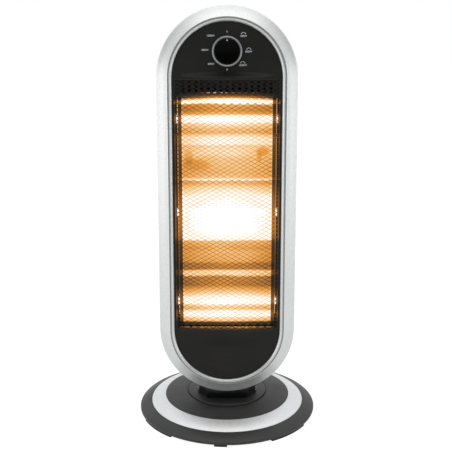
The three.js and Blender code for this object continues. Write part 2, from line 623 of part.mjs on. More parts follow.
// The outline lies in Y and Z; a third of a turn about the diagonal stands it up across X.
const crosswise = new THREE.Matrix4().set(0, 0, 1, 0, 1, 0, 0, 0, 0, 1, 0, 0, 0, 0, 0, 1);
const reflector = solid(new THREE.ExtrudeGeometry(folded([...folds].reverse(), -SHEET), {
  depth: 2 * REFLECTOR_HALF, bevelEnabled: false,
}).translate(0, 0, -REFLECTOR_HALF).applyMatrix4(crosswise));
put(head, 'reflector', reflector, POLISHED);

const lampHoles = (radius, x0, x1) => LAMP_Z.map((z) => rod('x', radius, x0, x1, [LAMP_Y, z]));
const sideIn = REFLECTOR_HALF + FIT;
const side = cut(
  join(
    slab(folded([[sideIn, SIDE_BACK], [sideIn, FLANGE_Y - SHEET], [BAR_OUT, FLANGE_Y - SHEET]], SHEET),
      SHIELD_Z[0], SHIELD_Z[1] - 1, 4),
    ...[102.5, -129].map((z) =>
      box(BAR_OUT - 1, WINDOW_HALF - FIT, FLANGE_Y - SHEET, FLANGE_Y, z, z + 3)),
  ),
  ...lampHoles(TUBE_R + FIT, REFLECTOR_HALF - 5, WINDOW_HALF),
);
put(head, 'reflector_side_right', side, STEEL);
put(head, 'reflector_side_left', mirrored(side), STEEL);

const shieldOutline = folded([
  [-SHIELD_HALF, RAIL_Y[0] - 1], [-SHIELD_HALF, SIDE_BACK + FIT], [SHIELD_HALF, SIDE_BACK + FIT],
  [SHIELD_HALF, RAIL_Y[0] - 1],
], SHIELD_T);
put(head, 'heat_shield', slab(shieldOutline, ...SHIELD_Z, 4), STEEL);

const rail = cut(
  box(SHIELD_HALF - FIT - RAIL_T, SHIELD_HALF - FIT, ...RAIL_Y, LAMP_Z[2] - RAIL_END, LAMP_Z[0] + RAIL_END),
  ...lampHoles(2, CAP_OUT - 5, SHIELD_HALF + 5),
);
put(head, 'lamp_rail_right', rail, STEEL);
put(head, 'lamp_rail_left', mirrored(rail), STEEL);

// Coil with a straight lead at each end.
class Filament extends THREE.Curve {
  getPoint(t) {
    const lead = 0.05;
    const run = Math.min(1, Math.max(0, (t - lead) / (1 - 2 * lead)));
    const beyond = t < lead ? (t - lead) / lead : Math.max(0, (t - 1 + lead) / lead);
    const x = COIL_HALF * (2 * run - 1) + beyond * (CAP_OUT - 4 - COIL_HALF);
    const a = 2 * Math.PI * COIL_TURNS * run;
    const r = COIL_R * (1 - Math.min(1, Math.abs(beyond) * 3));
    return new THREE.Vector3(x, r * Math.cos(a), r * Math.sin(a));
  }
}
const wireShape = outline(Array.from({ length: 5 }, (_, i) => {
  const a = (2 * Math.PI * i) / 5;
  return [WIRE_R * Math.cos(a), WIRE_R * Math.sin(a)];
}));
const filament = new Filament();
const coilSteps = COIL_TURNS * 8 + 8;
const coil = solid(new THREE.ExtrudeGeometry(wireShape, {
  steps: coilSteps, extrudePath: filament, bevelEnabled: false,
}));
// Least gap between neighbouring curls, measured on points of the centre line a curl apart.
const line = filament.getSpacedPoints(coilSteps * 4);
let least = Infinity;
line.forEach((p, i) => line.slice(i + 16).forEach((q) => { least = Math.min(least, p.distanceTo(q)); }));
console.log(`filament: least gap between curls ${(least - 2 * WIRE_R).toFixed(2)} mm`);
const endCap = solid(new THREE.LatheGeometry(points([
  [TUBE_R + FIT, CAP_IN], [CAP_R - 0.8, CAP_IN], [CAP_R, CAP_IN + 0.8], [CAP_R, CAP_OUT - 0.8],
  [CAP_R - 0.8, CAP_OUT], [WIRE_R + FIT, CAP_OUT], [WIRE_R + FIT, TUBE_HALF + FIT],
  [TUBE_R + FIT, TUBE_HALF + FIT], [TUBE_R + FIT, CAP_IN],
]), 10).rotateZ(-Math.PI / 2));
const tube = cut(
  rod('x', TUBE_R, -TUBE_HALF, TUBE_HALF), rod('x', TUBE_BORE, -99, 99),
);
const LEVELS = ['upper', 'middle', 'lower'];
LAMP_Z.forEach((z, i) => {
  const move = [0, LAMP_Y, z];
  put(head, `quartz_tube_${LEVELS[i]}`, tube.translate(move), QUARTZ);
  put(head, `filament_${LEVELS[i]}`, coil.translate(move), TUNGSTEN);
  put(head, `end_cap_${LEVELS[i]}_right`, endCap.translate(move), CERAMIC);
  put(head, `end_cap_${LEVELS[i]}_left`, mirrored(endCap).translate(move), CERAMIC);
});

const cutoutBack = shieldBack + FIT;
put(head, 'thermal_cutout', join(
  rod('y', 8, cutoutBack, cutoutBack + 6, [0, 30], 12),
  box(-14, 14, cutoutBack, cutoutBack + 1.2, 24, 36),
), BAKELITE);

// ---------------------------------------------------------------- control
const switchFront = PANEL_BACK + FIT;
put(head, 'rotary_switch', cut(
  join(
    box(-17, 17, switchFront, switchFront + 18, KNOB_Z - 17, KNOB_Z + 17),
    rod('y', 12, switchFront + 17, switchFront + 24, [0, KNOB_Z], 12),
  ),
  rod('y', SPINDLE_R + FIT, -60, -27, [0, KNOB_Z]),
), BAKELITE);
put(head, 'switch_shaft', rod('y', SPINDLE_R, KNOB_FRONT + 6, -27 - FIT, [0, KNOB_Z]), STEEL);
const turnedKnob = (pairs, sides) => {
  const closed = pairs[0][0] === 0 ? pairs : [...pairs, pairs[0]];
  return solid(new THREE.LatheGeometry(points(closed), sides).translate(0, 0, KNOB_Z));
};
const skirtBack = PANEL_FRONT - 0.4;
put(head, 'knob', turnedKnob([
  [0, KNOB_FRONT], [KNOB_R - 2.4, KNOB_FRONT], [KNOB_R - 1, KNOB_FRONT + 0.7], [KNOB_R - 0.3, KNOB_FRONT + 2.2],
  [KNOB_R, -46], [KNOB_R, skirtBack], [SPINDLE_R + FIT, skirtBack], [SPINDLE_R + FIT, KNOB_FRONT + 5.7],
  [0, KNOB_FRONT + 5.7],
], 28), MATT_BLACK);
put(head, 'knob_ring', turnedKnob([
  [KNOB_R + FIT, skirtBack], [KNOB_RING_R, skirtBack], [KNOB_RING_R, -43.4], [KNOB_RING_R - 0.9, -44.6],
  [KNOB_R + FIT, -45],
], 28), CHROME);

export default heater;
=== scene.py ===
"""Halogen heater on a round oscillating foot: its finishes and the fine pieces of its visible model."""
import logging
import math
from collections.abc import Callable, Iterable, Sequence
from dataclasses import dataclass, field
from enum import Enum

import bmesh
import bpy
from mathutils import Matrix, Vector


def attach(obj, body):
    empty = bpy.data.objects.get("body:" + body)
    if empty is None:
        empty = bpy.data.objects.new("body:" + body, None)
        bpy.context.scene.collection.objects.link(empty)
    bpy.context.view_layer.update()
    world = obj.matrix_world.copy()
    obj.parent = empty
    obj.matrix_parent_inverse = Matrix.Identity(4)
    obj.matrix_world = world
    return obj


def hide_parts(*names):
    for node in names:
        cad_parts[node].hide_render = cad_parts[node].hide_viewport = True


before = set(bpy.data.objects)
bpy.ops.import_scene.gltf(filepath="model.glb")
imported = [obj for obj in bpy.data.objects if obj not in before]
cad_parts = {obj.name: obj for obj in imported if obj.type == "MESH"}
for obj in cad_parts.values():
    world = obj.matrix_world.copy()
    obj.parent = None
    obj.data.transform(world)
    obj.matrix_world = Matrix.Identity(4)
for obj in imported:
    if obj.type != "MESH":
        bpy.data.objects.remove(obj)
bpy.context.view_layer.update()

LOG = logging.getLogger("heater")

MM = 0.001
HEAD_HEIGHT = 327.2  # height of the middle of the head
HEAD_LEAN = math.radians(3.0)
BASE_PLACE = Matrix.Scale(MM, 4)
HEAD_PLACE = (
    Matrix.Translation((0.0, 0.0, HEAD_HEIGHT * MM)) @ Matrix.Rotation(-HEAD_LEAN, 4, "X") @ Matrix.Scale(MM, 4)
)
IN_PLACE = Matrix.Identity(4)
UPRIGHT = Matrix.Rotation(math.pi / 2, 4, "X")  # stands up what is drawn flat, facing the front
GUARD_HALF = 75.0
GUARD_SPAN = (-182.6, 183.6)
GUARD_BOW = 10.0

Pair = tuple[float, float]
Point = tuple[float, float, float]
Colour = tuple[float, float, float, float]
Tree = bpy.types.NodeTree
Socket = bpy.types.NodeSocket
Mesh = bmesh.types.BMesh


# ---------------------------------------------------------------- colour and nodes
def linear(code: str) -> Colour:
    """Turns an sRGB hex colour into linear values.

    Args:
        code: the colour, such as "#8a8b8c".

    Returns:
        Red, green, blue and an alpha of one.
    """
    values = [int(code[i:i + 2], 16) / 255 for i in (1, 3, 5)]
    red, green, blue = (v / 12.92 if v <= 0.04045 else ((v + 0.055) / 1.055) ** 2.4 for v in values)
    return red, green, blue, 1.0


def feed(tree: Tree, node: bpy.types.Node, inputs: dict) -> None:
    """Gives a node's sockets their values and links.

    Args:
        tree: the node tree.
        node: the node.
        inputs: sockets by name or number, each with a value or with a socket to link from.
    """
    for key, value in inputs.items():
        if isinstance(value, Socket):
            tree.links.new(value, node.inputs[key])
        else:
            node.inputs[key].default_value = value


def add_node(
    tree: Tree, kind: str, settings: dict | None = None, inputs: dict | None = None
) -> bpy.types.Node:
    """Adds a node with its settings, values and links.

    Args:
        tree: the node tree to add to.
        kind: the node's type name.
        settings: properties of the node by name.
        inputs: sockets by name or number, each with a value or with a socket to link from.

    Returns:
        The new node.
    """
    node = tree.nodes.new(kind)
    for name, value in (settings or {}).items():
        setattr(node, name, value)
    feed(tree, node, inputs or {})
    return node


def ranged(
    tree: Tree, value: Socket, source: Pair, target: Pair, shape: str = "LINEAR"
) -> Socket:
    """Carries a value from one range to another.

    Args:
        tree: the node tree to add to.
        value: the socket with the value.
        source: the range that it comes from.
        target: the range that it goes to.
        shape: the kind of interpolation.

    Returns:
        The socket with the carried value.
    """
    return add_node(tree, "ShaderNodeMapRange", {"interpolation_type": shape}, {
        "Value": value, "From Min": source[0], "From Max": source[1], "To Min": target[0], "To Max": target[1],
    }).outputs["Result"]


def relief(tree: Tree, height: Socket, depth: float) -> Socket:
    """Turns a texture's height, with a depth in millimetres, into a bumped normal."""
    return add_node(tree, "ShaderNodeBump", None, {
        "Height": height, "Strength": 1.0, "Distance": depth * MM,
    }).outputs["Normal"]


def object_millimetres(tree: Tree, in_head: bool = False) -> Socket:
    """Gives Object coordinates in millimetres.

    Args:
        tree: the node tree to add to.
        in_head: True to measure from the middle of the leaning head, along its own axes.

    Returns:
        The vector socket.
    """
    coordinates = add_node(tree, "ShaderNodeTexCoord")
    mapping = add_node(tree, "ShaderNodeMapping", {"vector_type": "TEXTURE"}, {
        "Vector": coordinates.outputs["Object"], "Scale": (MM, MM, MM),
    })
    if in_head:
        mapping.inputs["Location"].default_value = (0.0, 0.0, HEAD_HEIGHT * MM)
        mapping.inputs["Rotation"].default_value = (-HEAD_LEAN, 0.0, 0.0)
    return mapping.outputs["Vector"]


def curve_node(
    tree: Tree, value: Socket, span: Pair, top: float, stops: Iterable[Pair]
) -> Socket:
    """Looks a value up on a line through stops.

    Args:
        tree: the node tree to add to.
        value: the socket to look up.
        span: the lowest and highest value on the line.
        top: the greatest height of the line.
        stops: value and height pairs.

    Returns:
        The socket with the height.
    """
    low, high = span
    curve = add_node(tree, "ShaderNodeFloatCurve", None, {"Value": ranged(tree, value, span, (0.0, 1.0))})
    line = curve.mapping.curves[0]
    placed = sorted(((x - low) / (high - low), y / top) for x, y in stops)
    line.points[0].location = placed[0]
    line.points[-1].location = placed[-1]
    for x, y in placed[1:-1]:
        line.points.new(x, y)
    for point in line.points:
        point.handle_type = "VECTOR"
    curve.mapping.update()
    scaled = add_node(tree, "ShaderNodeMath", {"operation": "MULTIPLY"}, {0: curve.outputs["Value"], 1: top})
    return scaled.outputs["Value"]


# ---------------------------------------------------------------- light of the lamps, painted on as glow
class Glare(Enum):
    """Levels of the painted lamp light on metal, from a dark edge to an overexposed white."""

    BLINDING = 1.6
    GLARING = 1.36
    WHITE = 1.18
    BRIGHT = 1.04
    PALE = 0.93
    CREAM = 0.89
    HONEY = 0.84
    AMBER = 0.78
    TAN = 0.72
    COPPER = 0.66
    RUST = 0.56
    DULL = 0.42
    BROWN = 0.27
    DARK = 0.16
    NONE = 0.0


(BLINDING, GLARING, WHITE, BRIGHT, PALE, CREAM, HONEY, AMBER, TAN, COPPER, RUST, DULL, BROWN, DARK, NONE) = Glare

# Colour of the painted lamp light on metal against its level.
LAMP_LIGHT_COLOURS: tuple[tuple[float, str], ...] = (
    (0.0, "#000000"), (0.14, "#2b2015"), (0.23, "#583a1d"), (0.40, "#a06425"), (0.51, "#c67f2e"), (0.58, "#df9234"),
    (0.66, "#eea74f"), (0.74, "#f2bd79"), (0.82, "#f7d19d"), (0.89, "#f8e3c3"), (0.95, "#fbf1df"), (1.0, "#ffffff"),
)

# Height of each change of light behind the guard, at the depth of the reflector's valleys. Each height and
# level was set by comparing the brightness of the render's rows with the photograph's.
REFLECTOR_BANDS: tuple[tuple[float, Glare], ...] = (
    (157.0, NONE), (155.0, DARK), (153.5, DULL), (151.5, AMBER), (149.8, WHITE), (146.5, GLARING), (144.0, TAN),
    (140.0, COPPER), (134.0, COPPER), (130.0, AMBER), (127.0, PALE), (124.5, WHITE), (122.0, GLARING),
    (120.0, GLARING), (117.0, BRIGHT), (108.0, HONEY), (102.0, AMBER), (98.5, PALE), (95.0, BRIGHT), (85.0, BRIGHT),
    (82.0, CREAM), (79.0, PALE), (70.0, PALE), (63.0, HONEY), (42.0, AMBER), (34.5, HONEY), (33.0, BRIGHT),
    (31.5, BRIGHT), (30.0, AMBER), (26.5, AMBER), (21.0, PALE), (13.0, BRIGHT), (4.0, WHITE), (-5.0, GLARING),
    (-16.0, BLINDING), (-42.0, BLINDING), (-53.0, GLARING), (-57.5, WHITE), (-60.0, BRIGHT), (-61.5, HONEY),
    (-66.0, AMBER), (-73.0, TAN), (-78.0, AMBER), (-93.0, TAN), (-97.0, RUST), (-105.5, RUST), (-107.5, PALE),
    (-114.0, PALE), (-117.0, RUST), (-130.0, RUST), (-134.5, TAN), (-139.0, HONEY), (-147.0, BRIGHT), (-152.0, WHITE),
    (-154.5, GLARING), (-157.5, GLARING), (-160.0, BRIGHT), (-163.5, CREAM), (-168.0, HONEY), (-173.0, WHITE),
    (-179.0, WHITE), (-183.0, PALE), (-187.8, HONEY), (-190.0, BROWN), (-196.0, BROWN), (-204.0, NONE),
)

# The same for the lit slits beside the reflector, seen past the lamps' ends.
SLIT_BANDS: tuple[tuple[float, Glare], ...] = (
    (161.9, NONE), (161.5, WHITE), (159.8, WHITE), (157.0, DARK), (155.0, COPPER), (126.0, AMBER), (119.0, AMBER),
    (110.0, RUST), (60.0, COPPER), (20.0, RUST), (0.0, COPPER), (-30.0, TAN), (-50.0, COPPER), (-66.0, DULL),
    (-132.0, BROWN), (-144.0, RUST), (-150.0, AMBER), (-156.0, AMBER), (-176.0, COPPER), (-190.0, DULL),
    (-196.0, DARK),
)

# The same for the guard, which hides its own light from the row of slots.
GUARD_BANDS: tuple[tuple[float, Glare], ...] = ((159.0, NONE), (156.0, DULL)) + REFLECTOR_BANDS[3:]

# The same for the front panel: its strip above the window, and the edge and strip below it.
PANEL_BANDS: tuple[tuple[float, Glare], ...] = (
    (163.0, NONE), (158.5, DARK), (155.5, BROWN), (153.2, RUST), (150.0, NONE), (-194.0, NONE), (-195.6, TAN),
    (-197.0, TAN), (-198.0, BROWN), (-203.0, DARK), (-206.0, NONE),
)


@dataclass(frozen=True)
class DarkReflection:
    """Painted dark reflection: a soft dark patch on the reflector where it mirrors something unlit.

    Attributes:
        place: its middle, across and up.
        reach: half its width and height.
        loss: level lost in its middle.
    """

    place: Pair
    reach: Pair
    loss: float


DARK_REFLECTIONS: tuple[DarkReflection, ...] = (
    DarkReflection((-46.0, 54.0), (24.0, 9.0), 0.13), DarkReflection((-56.0, 66.0), (7.0, 12.0), 0.12),
    DarkReflection((52.0, 74.0), (11.0, 7.0), 0.20), DarkReflection((47.0, 66.0), (4.0, 9.0), 0.12),
)


@dataclass(frozen=True)
class LampLight:
    """Light that the lamps throw on the metal round them, painted on as glow by height.

    Attributes:
        bands: heights, in the head's frame, with the level of light there.
        loss: level that the surface loses by facing away from the lamps.
        half_width: half the width that is fully lit.
        fade: width over which the light falls away beside it.
        rest: share of the light that is left beyond.
        cap: highest level that the surface reaches.
        falloff: level lost from the middle to the sides.
        echo: level lost where the surface mirrors the guard's strands.
        shade: depth in front of which the surface turns away from the lamps, and the share it keeps there.
        dark_reflections: painted dark reflections, where the surface mirrors something unlit.
    """

    bands: tuple[tuple[float, Glare], ...] = REFLECTOR_BANDS
    loss: float = 0.0
    half_width: float = 90.0
    fade: float = 4.0
    rest: float = 0.0
    cap: float = 2.0
    falloff: float = 0.13
    echo: float = 0.0
    shade: Pair | None = None
    dark_reflections: tuple[DarkReflection, ...] = ()
    valley: float = 12.0  # depth of the reflector's valleys behind the middle of the head
    mesh: Pair = (10.2, 5.6)  # openings of the guard as the reflector mirrors them
    slope: Pair = (0.2126, 0.00078)  # fall of the line of sight at mid height, and its change per millimetre
    reach: float = 65.0  # distance from the middle at which the sides' losses are full
    arch: Pair = (130.0, 152.0)  # heights between which the bands begin to bend down at the sides
    unevenness: Pair = (4.0, 0.12)  # drift of the bands in millimetres, and of their level
    glare: tuple[float, float, float] = (1.1, 4.0, 0.5)  # level where glare starts, its gain, its loss at the sides
    rear_normal: float = 0.3  # faces that look further to the rear than this stay dark

    def colour(self, tree: Tree) -> Socket:
        """Builds the colour of the painted light, which slants down towards the front as it leaves the reflector.

        The backs of the sheets, whose faces look towards the rear, stay dark.

        Args:
            tree: the node tree to add to.

        Returns:
            The colour socket.
        """
        def step(operation: str, first: Socket | float, second: Socket | float = 0.0,
                 ) -> Socket:
            """Adds one sum, product or other step and returns its result."""
            return add_node(tree, "ShaderNodeMath", {"operation": operation}, {0: first, 1: second}).outputs["Value"]

        place = object_millimetres(tree, in_head=True)
        axes = add_node(tree, "ShaderNodeSeparateXYZ", None, {"Vector": place}).outputs
        slant = step("SUBTRACT", self.slope[0], step("MULTIPLY", axes["Z"], self.slope[1]))
        height = step("ADD", axes["Z"], step("MULTIPLY", step("SUBTRACT", axes["Y"], self.valley), slant))
        side = step("ABSOLUTE", axes["X"])
        share = step("POWER", step("DIVIDE", side, self.reach), 2.0)
        ripple = add_node(tree, "ShaderNodeTexNoise", {"noise_dimensions": "3D"}, {
            "Vector": add_node(tree, "ShaderNodeMapping", None, {
                "Vector": place, "Scale": (0.02, 0.02, 0.06),
            }).outputs["Vector"],
            "Scale": 1.0, "Detail": 2.0,
        }).outputs["Fac"]
        wave = step("MULTIPLY", step("SUBTRACT", ripple, 0.5), self.unevenness[0])
        arch = step("MULTIPLY", share, ranged(tree, height, self.arch, (0.0, 3.0)))
        seen = step("ADD", step("ADD", height, wave), arch)
        span = (self.bands[-1][0], self.bands[0][0])
        level = curve_node(tree, seen, span, BLINDING.value, [(at, glare.value) for at, glare in self.bands])
        level = step("SUBTRACT", level, step("MULTIPLY", share, self.falloff))
        level = step("SUBTRACT", level, self.loss)
        level = step("ADD", level, step("MULTIPLY", step("SUBTRACT", ripple, 0.5), self.unevenness[1]))
        if self.echo:
            across, up = step("DIVIDE", axes["X"], self.mesh[0]), step("DIVIDE", height, self.mesh[1])
            strands = step("MINIMUM", step("PINGPONG", step("ADD", across, up), 0.5),
                           step("PINGPONG", step("SUBTRACT", across, up), 0.5))
            level = step("SUBTRACT", level, ranged(tree, strands, (0.04, 0.17), (self.echo, 0.0)))
        # painted dark reflections: the light is darkened where the reflector mirrors something unlit
        for dark_reflection in self.dark_reflections:
            away = step("POWER", step("DIVIDE", step("SUBTRACT", axes["X"], dark_reflection.place[0]), dark_reflection.reach[0]), 2.0)
            rise = step("POWER", step("DIVIDE", step("SUBTRACT", height, dark_reflection.place[1]), dark_reflection.reach[1]), 2.0)
            dark = ranged(tree, step("ADD", away, rise), (0.2, 1.3), (dark_reflection.loss, 0.0), "SMOOTHSTEP")
            level = step("SUBTRACT", level, dark)
        edge = ranged(tree, side, (self.half_width, self.half_width + self.fade), (1.0, self.rest))
        level = step("MULTIPLY", step("MAXIMUM", step("MINIMUM", level, self.cap), 0.0), edge)
        normal = add_node(tree, "ShaderNodeTexCoord").outputs["Normal"]
        facing = add_node(tree, "ShaderNodeSeparateXYZ", None, {"Vector": normal}).outputs["Y"]
        level = step("MULTIPLY", level, step("LESS_THAN", facing, self.rear_normal))
        if self.shade:
            front = step("LESS_THAN", axes["Y"], self.shade[0])
            level = step("MULTIPLY", level, step("SUBTRACT", 1.0, step("MULTIPLY", front, 1.0 - self.shade[1])))
        ramp = add_node(tree, "ShaderNodeValToRGB", None, {"Fac": level})
        elements = ramp.color_ramp.elements
        for index, (at, code) in enumerate(LAMP_LIGHT_COLOURS):
            element = elements[index] if index < 2 else elements.new(at)
            element.position = at
            element.color = linear(code)
        start, gain, loss = self.glare
        excess = step("SUBTRACT", step("SUBTRACT", level, start), step("MULTIPLY", share, loss))
        glare = step("ADD", 1.0, step("MULTIPLY", step("MAXIMUM", excess, 0.0), gain))
        return add_node(tree, "ShaderNodeVectorMath", {"operation": "SCALE"}, {
            0: ramp.outputs["Color"], "Scale": glare,
        }).outputs["Vector"]


# ---------------------------------------------------------------- finishes
@dataclass(frozen=True)
class Finish:
    """A surface finish: the material that a piece is made of and how its surface was made."""

    name: str

    def dress(self, tree: Tree, shader: bpy.types.Node) -> None:
        """Fills the material's nodes."""
        raise NotImplementedError

    def material(self) -> bpy.types.Material:
        """Returns the finish's material, which is made on its first use."""
        made = bpy.data.materials.get(self.name)
        if made is None:
            made = bpy.data.materials.new(self.name)
            made.use_nodes = True
            self.dress(made.node_tree, made.node_tree.nodes["Principled BSDF"])
        return made


@dataclass(frozen=True)
class Grained(Finish):
    """A plain solid colour with a fine grain: moulded plastic, rubber, ceramic or painted sheet.

    Attributes:
        colour: sRGB hex colour.
        roughness: mean roughness.
        metallic: 0 for plastics, 1 for bare metal.
        grain: spacing of the surface texture in millimetres.
        depth: height of the texture in millimetres.
        tint: share by which the colour varies over a hand's width.
        shine: specular level, 0.5 for common plastics.
        light: light of the lamps painted on the surface as glow, if they reach it.
    """

    colour: str = "#808080"
    roughness: float = 0.5
    metallic: float = 0.0
    grain: float = 1.6
    depth: float = 0.02
    tint: float = 0.06
    shine: float = 0.5
    light: LampLight | None = None

    def dress(self, tree: Tree, shader: bpy.types.Node) -> None:
        """Adds grain to the bump, soft wear to the roughness and a slow drift to the colour."""
        place = object_millimetres(tree)
        fine = add_node(tree, "ShaderNodeTexNoise", None, {
            "Vector": place, "Scale": 1.0 / self.grain, "Detail": 3.0, "Roughness": 0.55,
        })
        slow = add_node(tree, "ShaderNodeTexNoise", None, {"Vector": place, "Scale": 1.0 / 45.0, "Detail": 3.0})
        red, green, blue, _ = linear(self.colour)
        low, high = 1.0 - self.tint, 1.0 + self.tint
        drift = add_node(tree, "ShaderNodeMix", {"data_type": "RGBA"}, {
            "Factor": slow.outputs["Fac"], 6: (red * low, green * low, blue * low, 1.0),
            7: (min(1.0, red * high), min(1.0, green * high), min(1.0, blue * high), 1.0),
        })
        wear = ranged(tree, slow.outputs["Fac"], (0.3, 0.7), (self.roughness - 0.05, self.roughness + 0.05))
        feed(tree, shader, {
            "Base Color": drift.outputs[2], "Roughness": wear, "Metallic": self.metallic,
            "Normal": relief(tree, fine.outputs["Fac"], self.depth), "Specular IOR Level": self.shine,
        })
        # the lamps' light, painted on as glow
        if self.light:
            feed(tree, shader, {"Emission Color": self.light.colour(tree), "Emission Strength": 1.0})


@dataclass(frozen=True)
class Lacquered(Finish):
    """Silver lacquer sprayed on moulded plastic: fine metal flakes under a thin satin coat."""

    colour: str = "#c9cbcb"
    flake: float = 1.5  # drawn coarser than the real 0.05 mm flakes, so that the sparkle shows
    roughness: float = 0.4
    metallic: float = 0.55

    def dress(self, tree: Tree, shader: bpy.types.Node) -> None:
        """Adds flake sparkle to the colour and a faint orange peel to the bump."""
        place = object_millimetres(tree)
        flakes = add_node(tree, "ShaderNodeTexVoronoi", None, {"Vector": place, "Scale": 1.0 / self.flake})
        peel = add_node(tree, "ShaderNodeTexNoise", None, {"Vector": place, "Scale": 1.0 / 4.0, "Detail": 2.0})
        colour = add_node(tree, "ShaderNodeMix", {"data_type": "RGBA", "blend_type": "MULTIPLY"}, {
            "Factor": 1.0, 6: linear(self.colour),
            7: ranged(tree, flakes.outputs["Color"], (0.0, 1.0), (0.93, 1.05)),
        })
        feed(tree, shader, {
            "Base Color": colour.outputs[2], "Normal": relief(tree, peel.outputs["Fac"], 0.01),
            "Metallic": self.metallic, "Roughness": self.roughness, "Coat Weight": 0.25, "Coat Roughness": 0.25,
        })


@dataclass(frozen=True)
class Glowing(Finish):
    """A lamp part at working heat, such as a quartz tube or a tungsten coil."""

    colour: str = "#fff4df"
    strength: float = 1.0
    transmission: float = 0.0
    roughness: float = 0.2
    light: LampLight | None = None

    def dress(self, tree: Tree, shader: bpy.types.Node) -> None:
        """Adds the glow: the lamps' light where it is given, or else one that is slightly uneven."""
        if self.light:
            feed(tree, shader, {"Emission Color": self.light.colour(tree)})
        else:
            place = object_millimetres(tree)
            uneven = add_node(tree, "ShaderNodeTexNoise", None, {"Vector": place, "Scale": 1.0 / 9.0, "Detail": 2.0})
            red, green, blue, _ = linear(self.colour)
            glow = add_node(tree, "ShaderNodeMix", {"data_type": "RGBA"}, {
                "Factor": uneven.outputs["Fac"], 6: (red, green * 0.94, blue * 0.86, 1.0), 7: (red, green, blue, 1.0),
            })
            feed(tree, shader, {"Emission Color": glow.outputs[2]})
        feed(tree, shader, {
            "Emission Strength": self.strength, "Base Color": linear(self.colour),
            "Transmission Weight": self.transmission, "Roughness": self.roughness,
        })
        if self.transmission:
            feed(tree, shader, {"IOR": 1.46})


class Finishes:
    """Every finish on the heater."""

    # ABS moulded with a spark-eroded texture: charcoal, dull, with broad soft highlights
    CHARCOAL = Grained("charcoal ABS, textured", colour="#282827", roughness=0.48, grain=1.5, depth=0.03, shine=0.5)
    # ABS from a satin tool: black with a soft sheen
    SATIN_BLACK = Grained("satin black ABS, moulded", colour="#1d1d1c", roughness=0.42, grain=2.0, depth=0.012)
    # the front panel is the same ABS, with the lamps' light painted as glow on its edge above the window
    PANEL_BLACK = Grained(
        "satin black ABS, painted lamp glow on front", colour="#2c2c2a", roughness=0.42, grain=2.0, depth=0.012, shine=0.09,
        light=LampLight(bands=PANEL_BANDS, falloff=0.05, half_width=66.0, fade=5.0),
    )
    # glass-filled nylon: deep black, slightly glossy
    GLOSS_BLACK = Grained("black nylon, moulded", colour="#101010", roughness=0.3, grain=2.4, depth=0.01, shine=0.3)
    # the knob's cap, polished: near black from the front
    KNOB_BLACK = Grained("black phenolic, polished", colour="#060605", roughness=0.32, depth=0.002, shine=0.05)
    SILVER = Lacquered("silver lacquer on ABS", colour="#dcdedd")
    # the same lacquer, darker in the groove: painted shade
    SILVER_GROOVE_SHADE = Lacquered("silver lacquer, painted groove shade", colour="#bcbebc", roughness=0.55)
    RING_SILVER = Lacquered("silver lacquer on foot ring", colour="#e6e8e9", roughness=0.5, metallic=0.75)
    # nitrile rubber: flat black with a matt bloom
    RUBBER = Grained("nitrile rubber, moulded", colour="#1c1c1c", roughness=0.75, grain=1.2, depth=0.02)
    # zinc-plated sheet: pale, slightly mottled
    ZINC = Grained("zinc-plated steel sheet", colour="#9a9c9d", roughness=0.38, metallic=1.0, grain=6.0, depth=0.01)
    # cast iron: dark and rough
    IRON = Grained("cast iron, as cast", colour="#3b3a39", roughness=0.7, metallic=0.6, grain=1.5, depth=0.08)
    # carbon steel, black-oxidised: dark with a dull shine
    SCREW_STEEL = Grained("black-oxidised steel", colour="#2d2c2b", roughness=0.4, metallic=1.0, depth=0.01)
    # aluminium sheet, polished, with the lamps' light painted on as glow and dark reflections painted in
    REFLECTOR = Grained(
        "polished aluminium, lit", colour="#3a342b", roughness=0.25, metallic=1.0, grain=3.0, depth=0.005,
        light=LampLight(echo=0.10, dark_reflections=DARK_REFLECTIONS),
    )
    # aluminised steel, heat-tinted, at each side of the reflector, with the lamps' light painted on as glow: its
    # front edge faces away from the lamps and keeps less of it
    FLANGE = Grained(
        "aluminised steel flange, lit inside", colour="#1b140d", roughness=0.6, shine=0.1,
        light=LampLight(shade=(-33.8, 0.32)),
    )
    # aluminised steel behind the lamps' ends, with the light of the slits beside the reflector painted on as glow
    SHIELD = Grained(
        "aluminised steel shield, lit", colour="#2a241c", roughness=0.45, metallic=1.0,
        light=LampLight(bands=SLIT_BANDS, falloff=0.0, half_width=73.2, fade=1.0),
    )
    # expanded steel mesh in black heat-proof paint, with painted glare where the lamps are behind it
    GUARD = Grained(
        "expanded steel, black enamel", colour="#302f2d", roughness=0.5, grain=1.0, depth=0.01, shine=0.1,
        light=LampLight(bands=GUARD_BANDS, loss=0.25, half_width=62.5, fade=2.5, rest=0.36, cap=0.80),
    )
    # steatite: off-white, fine and dull
    STEATITE = Grained("steatite ceramic, pressed", colour="#d9d2c4", roughness=0.6, grain=1.2)
    # natural nylon: milky
    NYLON = Grained("natural nylon, moulded", colour="#cfcab8", roughness=0.45)
    # phenolic: dark brown with a dull gloss
    PHENOLIC = Grained("phenolic, pressed", colour="#2a1d16", roughness=0.4)
    # satin chrome plating on ABS
    CHROME = Grained("satin chrome plate on ABS", colour="#a2a4a5", roughness=0.45, metallic=0.5, depth=0.004)
    # pad-printed ink: light grey, flat
    INK = Grained("light grey pad-printed ink", colour="#cdd3d8", roughness=0.6, depth=0.004)
    # clear quartz, drowned in the glare of its own lamp
    QUARTZ = Glowing("fused quartz tube, lit", colour="#3c352c", transmission=0.1, light=LampLight(loss=-0.01))
    TUNGSTEN = Glowing("tungsten coil at white heat", colour="#ffe2b0", strength=1.2)


